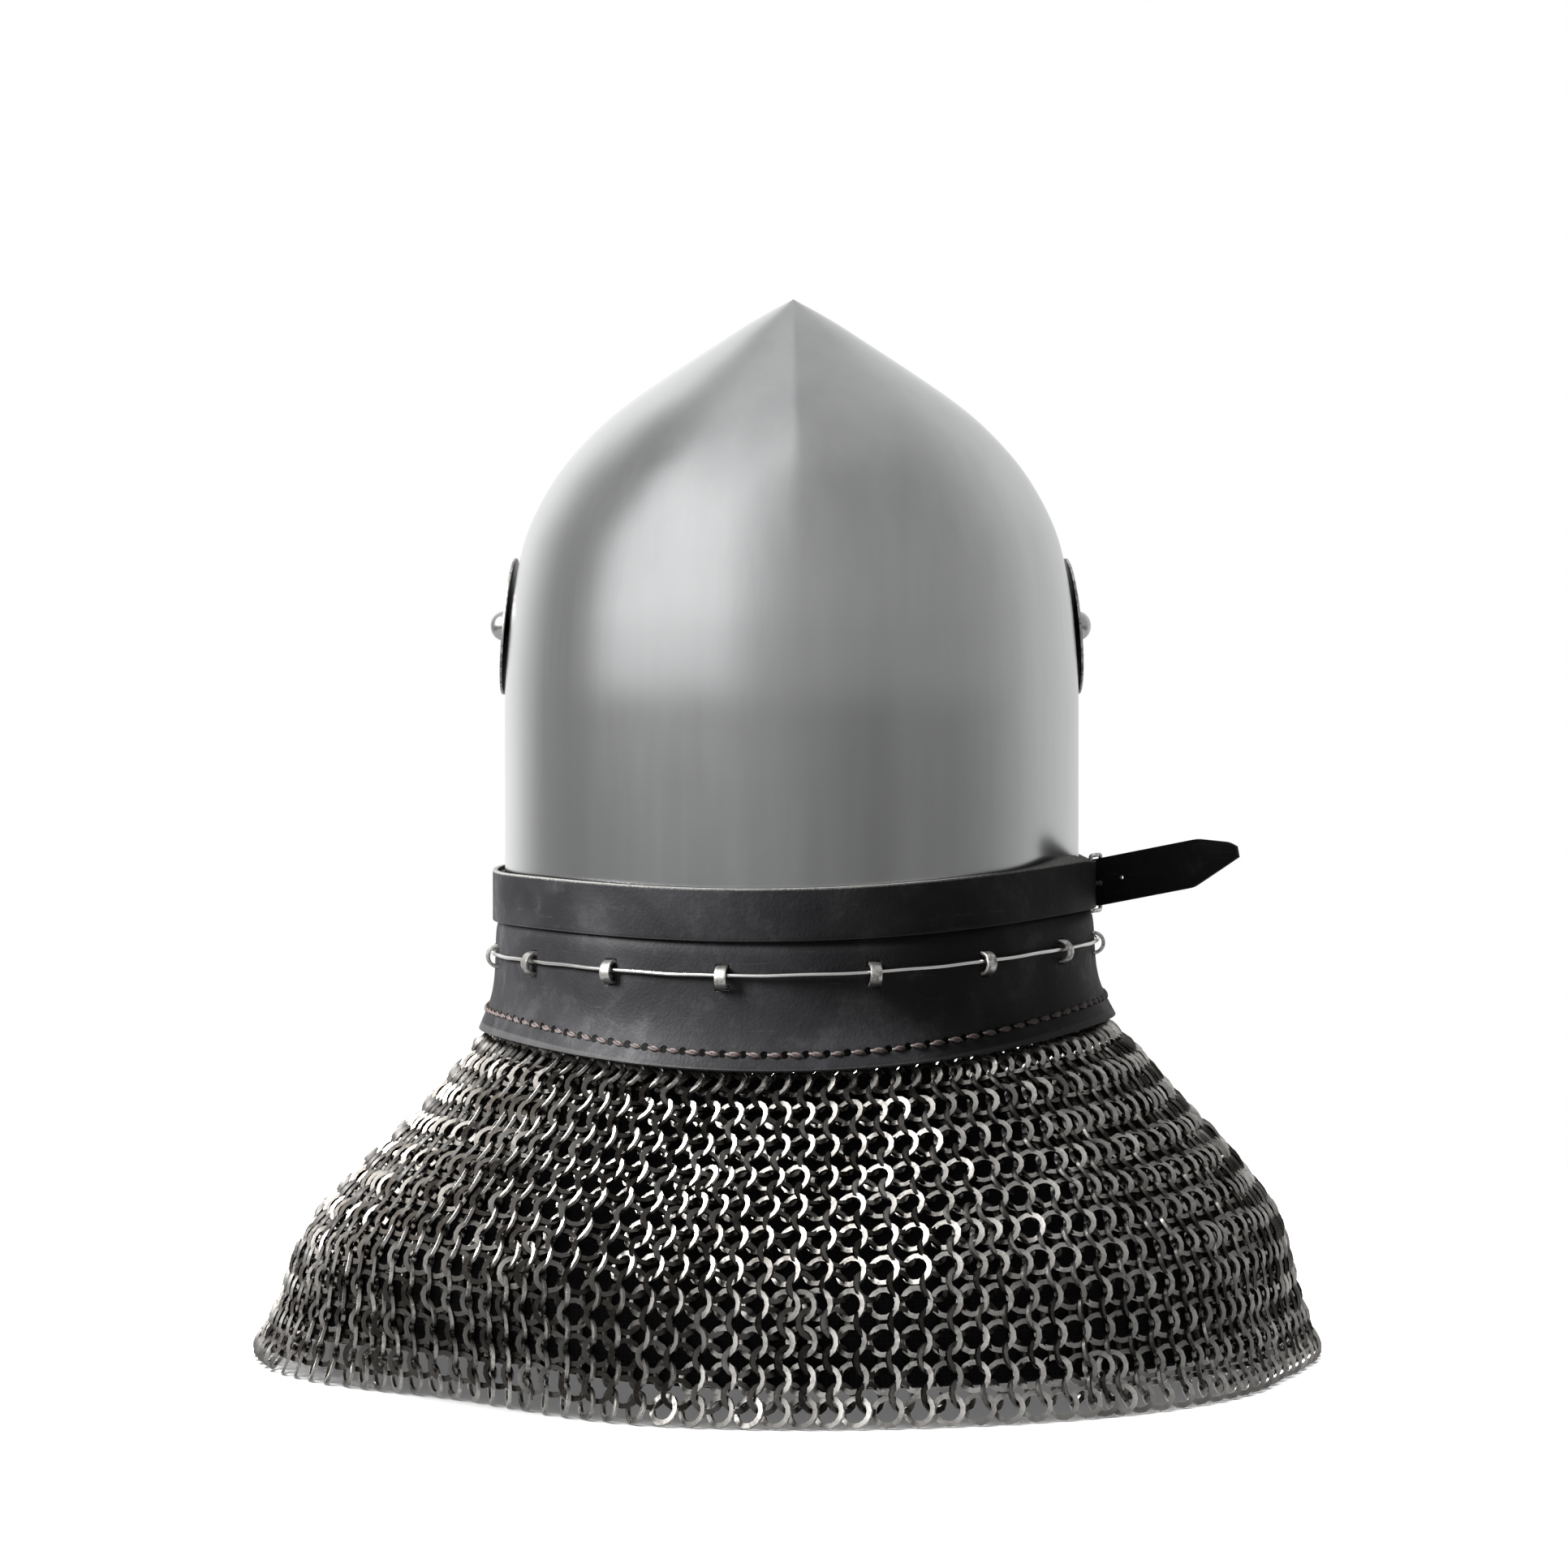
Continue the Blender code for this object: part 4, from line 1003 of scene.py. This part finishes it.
rivet = {"turn": 121, "head": 0.004, "high": 0.0018, "shank": 0.0015}
for side, word in bothSides:
    turn = side * radians(rivet["turn"])
    base = standOn(around(turn, 0, strapHeight(turn)), outward(turn))
    seat = strapLine + strap["thick"] / 2 + gap
    piece = domedBolt("cheekRivet_" + word, rivet, seat, base)
    handIn(piece, "worn_steel", finishes["worn"], "cheek_rivet_" + word)
print("straps buckled")

# camail: the bell that the rings and the lining follow
bell = {"tuck": 0.007, "hem": 0.0893, "lean": 0.0018, "foldReach": 0.62, "wall": 0.004}
bellRows = (  # drop, spread and lean
    (0.000, 0.000, 0.00), (0.058, 0.023, 0.00), (0.090, 0.066, 0.25), (0.168, 0.180, 0.90),
    (0.264, 0.300, 1.00), (0.448, 0.575, 1.00), (0.634, 0.793, 0.30), (0.820, 0.885, 0.00),
    (0.912, 0.943, 0.00), (1.000, 1.000, 0.00),
)
folds = ((-43, 22, 0.35), (8, 50, 0.085), (68, 14, 0.08), (-96, 12, -0.03), (-130, 17, 0.15), (117, 18, 0.15),
         (160, 14, 0.12))


def bellPoints(turn, drop, inward=0.0):
    turn, drop = np.broadcast_arrays(np.asarray(turn, float), np.asarray(drop, float))
    topHeight = bandBottom(turn) + bell["tuck"]
    topOffset = bandOffset(turn, topHeight) - 2 * gap
    drops, spreads, leans = zip(*bellRows)
    spread = throughPoints(drops, spreads, drop)
    deepening = np.maximum(0, (drop - 1 + bell["foldReach"]) / bell["foldReach"]) ** 1.5
    for where, half, depth in folds:
        apart = (np.degrees(turn) - where + 180) % 360 - 180
        spread = spread - depth * deepening * np.exp(-((apart / half) ** 2))
    place = around(turn, topOffset + (bell["hem"] - topOffset) * spread, topHeight)
    place[..., 2] *= 1 - drop
    place[..., 0] += bell["lean"] * throughPoints(drops, leans, drop)
    if not np.any(inward):
        return place
    return place - bellNormal(turn, drop) * np.asarray(inward)[..., None]


def bellNormal(turn, drop):
    across = bellPoints(turn + 0.004, drop) - bellPoints(turn - 0.004, drop)
    down = bellPoints(turn, np.minimum(drop + 0.004, 1)) - bellPoints(turn, np.maximum(drop - 0.004, 0))
    return unit(np.cross(down, across))


# the rings: flat links, four through one
link = {
    "radius": 0.0047, "wide": 0.0017, "thick": 0.0010, "steps": 14,
    "lapLong": 0.35, "lapWide": 0.22, "lapThick": 0.25,
    "lean": 26, "leanJitter": 4, "shingle": 5, "shingleJitter": 3, "hang": 5, "hemKick": 6, "stray": 0.0002,
    "rows": 22, "topColumns": 104, "hemColumns": 130, "firstRow": 0.0046, "lastRow": 0.0052,
    "topPitch": 6.2, "hemPitch": 5.3,  # the share of the drop that each row takes
    # rubbed is the rings' own bright tone on odd rows; the even rows take a dark value that is painted shade,
    # for rows that lean away from the light
    "rubbed": 0.58, "paintedShadeRowTone": 0.07, "toneJitter": 0.14, "paintedShadeUnderNeighbours": 0.55, "paintedShadeInnerEdge": 0.72,
}
# one link: a flat strip bent to a ring, wider and thicker at the riveted lap
pattern = fresh(
    bpy.ops.mesh.primitive_torus_add, major_segments=link["steps"], minor_segments=4,
    major_radius=link["radius"], minor_radius=link["wide"] / 2)
co = corners(pattern)
reach = np.hypot(co[:, 0], co[:, 1]) - link["radius"]
spot = np.arctan2(co[:, 1], co[:, 0])
corner = np.round(np.arctan2(co[:, 2], reach) / (pi / 2))  # the diamond is turned to a flat strip
quarter = corner * pi / 2 + pi / 4
lap = np.exp(-((spot / link["lapLong"]) ** 2))
flatReach = link["radius"] + link["wide"] / 2 * np.sign(np.cos(quarter)) * (1 + link["lapWide"] * lap)
flatRise = link["thick"] / 2 * np.sign(np.sin(quarter)) * (1 + link["lapThick"] * lap)
setCorners(pattern, np.stack([flatReach * np.cos(spot), flatReach * np.sin(spot), flatRise], -1))
ringCorners = corners(pattern)
ringFaces = np.array([face.vertices[:] for face in pattern.data.polygons])
bpy.data.objects.remove(pattern)

# extra columns come in one at a time on the way down, as a mailmaker widens a bell
fineShare = np.linspace(0, 1, 4001)
extra = link["hemColumns"] - link["topColumns"]
openings = [(1.5 + (link["rows"] - 5) * (n + 0.5) / extra, (0.137 + n * 0.6180339) % 1) for n in range(extra)]
fineBell = fineShare * 2 * pi - pi


def rowTurns(row):
    count = link["topColumns"]
    index = fineShare * count
    for opensAt, where in openings:
        if row > opensAt:
            reach = min((1.2 + 0.9 * (row - opensAt)) / count, 0.09)
            for whole in (0, -1, 1):  # the bell is round, so the step reaches past either end
                index = index + softStep((fineShare - where + whole) / reach + 0.5)
            index = index - 1
            count += 1
    index = index - index[0]
    wanted = (np.arange(count) + 0.5 * (row % 2)) % count
    return np.interp(wanted, index, fineShare), count


# arc-length places round the bell at the top and down each line of it
topRun, hemRun = (lengthAlong(bellPoints(fineBell, drop)) for drop in (0.05, 0.85))
steps = np.linspace(link["topPitch"], link["hemPitch"], link["rows"] - 1)
rowShare = np.concatenate(([0], np.cumsum(steps))) / steps.sum()
fineDropLine = np.linspace(0, 1, 141)
ringPlaces = []
for row in range(link["rows"]):
    share, count = rowTurns(row)
    low = rowShare[row]
    byTop = np.interp(share * topRun[-1], topRun, fineBell)
    byHem = np.interp(share * hemRun[-1], hemRun, fineBell)
    turn = byTop * (1 - low) + byHem * low
    run = lengthAlong(bellPoints(turn[:, None], fineDropLine[None, :]))
    wanted = link["firstRow"] + (run[:, -1] - link["firstRow"] - link["lastRow"]) * low
    drop = np.array([np.interp(w, r, fineDropLine) for w, r in zip(wanted, run)])
    ringPlaces.append((row, turn, drop))

parts = [[], [], []]
tones = [[], [], []]
for row, turn, drop in ringPlaces:
    centre = bellPoints(turn, drop, np.full(turn.shape, bell["wall"] / 2 + 0.0001))
    normal = bellNormal(turn, drop)
    side = unit(bellPoints(turn + 0.004, drop) - bellPoints(turn - 0.004, drop))
    down = np.cross(side, normal)
    down = np.where((down[..., 2] > 0)[..., None], -down, down)
    lean = np.radians(link["lean"] * (1 if row % 2 else -1) + dice.normal(0, link["leanJitter"], len(turn)))
    hang = link["hang"] * float(softStep((row - 1) / 3))  # below the leather they hang steeper than the bell
    tilt = np.radians(link["shingle"] - hang + dice.normal(0, link["shingleJitter"], len(turn)))
    if row == link["rows"] - 1:
        tilt += np.radians(link["hemKick"])
    a = side * np.cos(lean)[:, None] + normal * np.sin(lean)[:, None]
    c = normal * np.cos(lean)[:, None] - side * np.sin(lean)[:, None]
    b = down * np.cos(tilt)[:, None] + c * np.sin(tilt)[:, None]
    c = np.cross(a, b)
    spin = dice.uniform(0, 2 * pi, len(turn))
    for way in (side, down):
        centre = centre + way * dice.normal(0, link["stray"], (len(turn), 1))
    local = ringCorners[None]
    x = local[..., 0] * np.cos(spin)[:, None] - local[..., 1] * np.sin(spin)[:, None]
    y = local[..., 0] * np.sin(spin)[:, None] + local[..., 1] * np.cos(spin)[:, None]
    z = np.broadcast_to(local[..., 2], x.shape)
    at = centre[:, None] + x[..., None] * a[:, None] + y[..., None] * b[:, None] + z[..., None] * c[:, None]
    lowest = at[..., 2].min(axis=1)
    at[..., 2] += np.maximum(0, 0.0002 - lowest)[:, None]
    parts[row % 3].append(at.reshape(-1, 3))
    # odd rows keep their own bright tone and even rows get the painted shade tone, each with a random tone on
    # top
    usual = link["rubbed"] if row % 2 else link["paintedShadeRowTone"]
    rubbed = dice.normal(usual, link["toneJitter"], len(turn))[:, None]
    fromTop = np.abs(y) / link["radius"]
    inner = np.hypot(local[..., 0], local[..., 1]) < link["radius"]
    # painted shade: the top and bottom of each ring, where its neighbours overlap it, are darkened
    tone = rubbed * (1 - link["paintedShadeUnderNeighbours"] * np.clip(fromTop - 0.5, 0, 0.5) / 0.5)
    # painted shade: the inner edge of each ring is darkened
    tone = tone * np.where(inner, link["paintedShadeInnerEdge"], 1.0)
    tones[row % 3].append(np.clip(tone, 0, 1).ravel())
mailPieces = []
for number, (part, tone) in enumerate(zip(parts, tones), 1):
    co = np.concatenate(part)
    count = len(co) // len(ringCorners)
    faces = (ringFaces[None] + (np.arange(count) * len(ringCorners))[:, None, None]).reshape(-1, 4)
    mesh = bpy.data.meshes.new(f"mailRings_{number}")
    mesh.from_pydata(co.tolist(), [], faces.tolist())
    mesh.attributes.new("ringTone", "FLOAT", "POINT").data.foreach_set("value", np.concatenate(tone))
    rings = shown(f"mailRings_{number}", mesh)
    inEdit(rings, facesOut)
    smooth(rings, 45)  # round the ring, but crisp across its flat strip
    handIn(rings, "mail_steel", finishes["ring"], "mail_camail")
    mailPieces.append(rings)
    print("links in piece", number, ":", count)

# lining: dark quilted cloth inside the mail
pad = {"columns": 360, "rows": 60, "top": 0.06, "foot": 0.88, "thick": 0.0022, "channels": 60, "puff": 0.0006}


def padPlace(i, j):
    turn = i / pad["columns"] * 2 * pi
    drop = pad["foot"] + (pad["top"] - pad["foot"]) * j / pad["rows"]
    swell = pad["puff"] * np.abs(np.sin(turn * pad["channels"] / 2))
    return bellPoints(turn, drop, bell["wall"] + 0.0016 - swell)


lining = bentGrid("quiltedLining", pad["columns"], pad["rows"], padPlace,
                  lambda i, j: (i / pad["columns"] * 1.1, j / pad["rows"] * 0.12))
inEdit(lining, weld(1e-5), facesOut)
wall(lining, pad["thick"], -1)
softEdges(lining, 0.0006, 55, 2)
smooth(lining, 50)
handIn(lining, "lining_cloth", finishes["cloth"], "camail_lining")
print("camail hung")

# floor and light
studio = {
    "floor": 1.3, "floorGlow": 0.12, "floorInSteel": 0.55,
    "dim": 0.385, "leftFront": 0.72, "rightFront": 0.38, "leftLamp": 0.80, "sunk": 0.23, "mattShade": 0.88,
}
floor = fresh(bpy.ops.mesh.primitive_grid_add, x_subdivisions=4, y_subdivisions=4, size=studio["floor"])
floor.name = floor.data.name = "paleFloor"
ground = Finish("paleFloor", Base_Color=(0.86, 0.86, 0.86), Roughness=0.8)
ground.shader.inputs["Specular IOR Level"].default_value = 0.2
ground.shader.inputs["Emission Color"].default_value = (1, 1, 1, 1)
ground.shader.inputs["Emission Strength"].default_value = studio["floorGlow"]
dull = ground.tree.nodes.new("ShaderNodeEmission")  # steel mirrors a duller floor than the camera sees
dull.inputs["Strength"].default_value = studio["floorInSteel"]
either = ground.tree.nodes.new("ShaderNodeMixShader")
connect(ground.tree, either.inputs[0], ground.node("ShaderNodeLightPath", out="Is Glossy Ray"))
for source, slot in ((ground.shader, 1), (dull, 2)):
    ground.tree.links.new(source.outputs[0], either.inputs[slot])
ground.tree.links.new(either.outputs[0], ground.tree.nodes["Material Output"].inputs["Surface"])
floor.data.materials.clear()
floor.data.materials.append(ground.material)


def studioSky():  # turn 0 is straight ahead of the wearer, and + is to the wearer's right
    world = bpy.data.worlds.new("studio")
    bpy.context.scene.world = world
    world.use_nodes = True
    tree = world.node_tree
    tree.nodes.clear()
    sky = NodeTree(tree)
    x, y, z = sky.parts(sky.node("ShaderNodeTexCoord", out="Generated"))
    turn = x.maths("ARCTAN2", x, y) * (180 / pi)
    high = z.maths("ARCSINE", z) * (180 / pi)
    leftFront = sky.band(turn, -62, -22) * sky.band(turn, 18, -8) * sky.band(high, 62, 36)
    rightFront = sky.band(turn, 115, 30) * sky.band(turn, -15, 8) * sky.band(high, 88, 20)
    leftLamp = sky.band(turn, -176, -146) * sky.band(turn, -78, -108)
    leftLamp = leftLamp * sky.band(high, -1, 5) * sky.band(high, 78, 42)
    ceiling = sky.band(high, 48, 72) * (0.10 + sky.band(turn, 20, -20) * 0.26)
    behind = sky.band(turn, 145, 178) * 0.09 + sky.band(turn, -140, -176) * 0.14
    darkStreak = sky.band(turn, -50, -62) * sky.band(turn, -92, -80) * sky.band(high, 30, 8) * 0.04
    sunk = sky.band(high, 1, -4) * sky.band(abs(turn), 60, 110) * studio["sunk"]
    sunk = sunk + sky.band(high, 2, -3) * sky.band(abs(turn), 130, 160) * 0.09
    light = studio["dim"] + leftFront * studio["leftFront"] + rightFront * studio["rightFront"]
    light = light + leftLamp * studio["leftLamp"] + ceiling + behind - darkStreak - sunk
    seen = sky.node("ShaderNodeLightPath", out="Is Camera Ray")
    onMatt = sky.node("ShaderNodeLightPath", out="Is Diffuse Ray")
    light = light * (1 - onMatt * studio["mattShade"])
    backdrop = tree.nodes.new("ShaderNodeBackground")
    backdrop.inputs["Color"].default_value = (1, 1, 1, 1)
    connect(tree, backdrop.inputs["Strength"], light * (1 - seen) + seen)
    out = tree.nodes.new("ShaderNodeOutputWorld")
    tree.links.new(backdrop.outputs[0], out.inputs["Surface"])


studioSky()


def softBox(name, place, size, power, tint, pieces):  # lights only the pieces given
    lamp = bpy.data.lights.new(name, "AREA")
    lamp.shape, lamp.size, lamp.size_y = "RECTANGLE", *size
    lamp.energy = power
    lamp.color = tint
    box = shown(name, lamp)
    box.location = place
    box.rotation_euler = (Vector((0, 0, 0.1)) - Vector(place)).to_track_quat("-Z", "Y").to_euler()
    box.visible_camera = False
    lit = bpy.data.collections.new(name + "Only")
    for piece in pieces:
        lit.objects.link(piece)
    box.light_linking.receiver_collection = lit


# no lamp lights the polished skull, which mirrors the sky
hides = [band, neckStrap, tongueStrap, seam]
metals = [piece for piece in madePieces if piece not in hides + mailPieces + [shell, lining]]
white, warm = (1, 1, 1), (1, 0.985, 0.96)
for lampRow in (  # name, place, size, watts, tint and what it lights
    ("hideLamp", (-2.2, -0.72, 1.7), (0.8, 1.4), 480, white, hides),
    ("metalLamp", (-1.9, -1.3, 1.7), (0.8, 1.4), 210, warm, metals),
    ("mailFar", (-1.15, 1.7, 1.1), (2.4, 1.8), 430, warm, mailPieces),
    ("mailNear", (-1.6, 0.0, 1.65), (2.0, 1.8), 45, warm, mailPieces),
    ("floorLamp", (-0.3, 0.3, 2.4), (2.4, 2.4), 150, white, [floor]),
):
    softBox(*lampRow)
bpy.context.scene.view_settings.view_transform = "Standard"
bpy.context.scene.view_settings.look = "None"
print("studio lit")
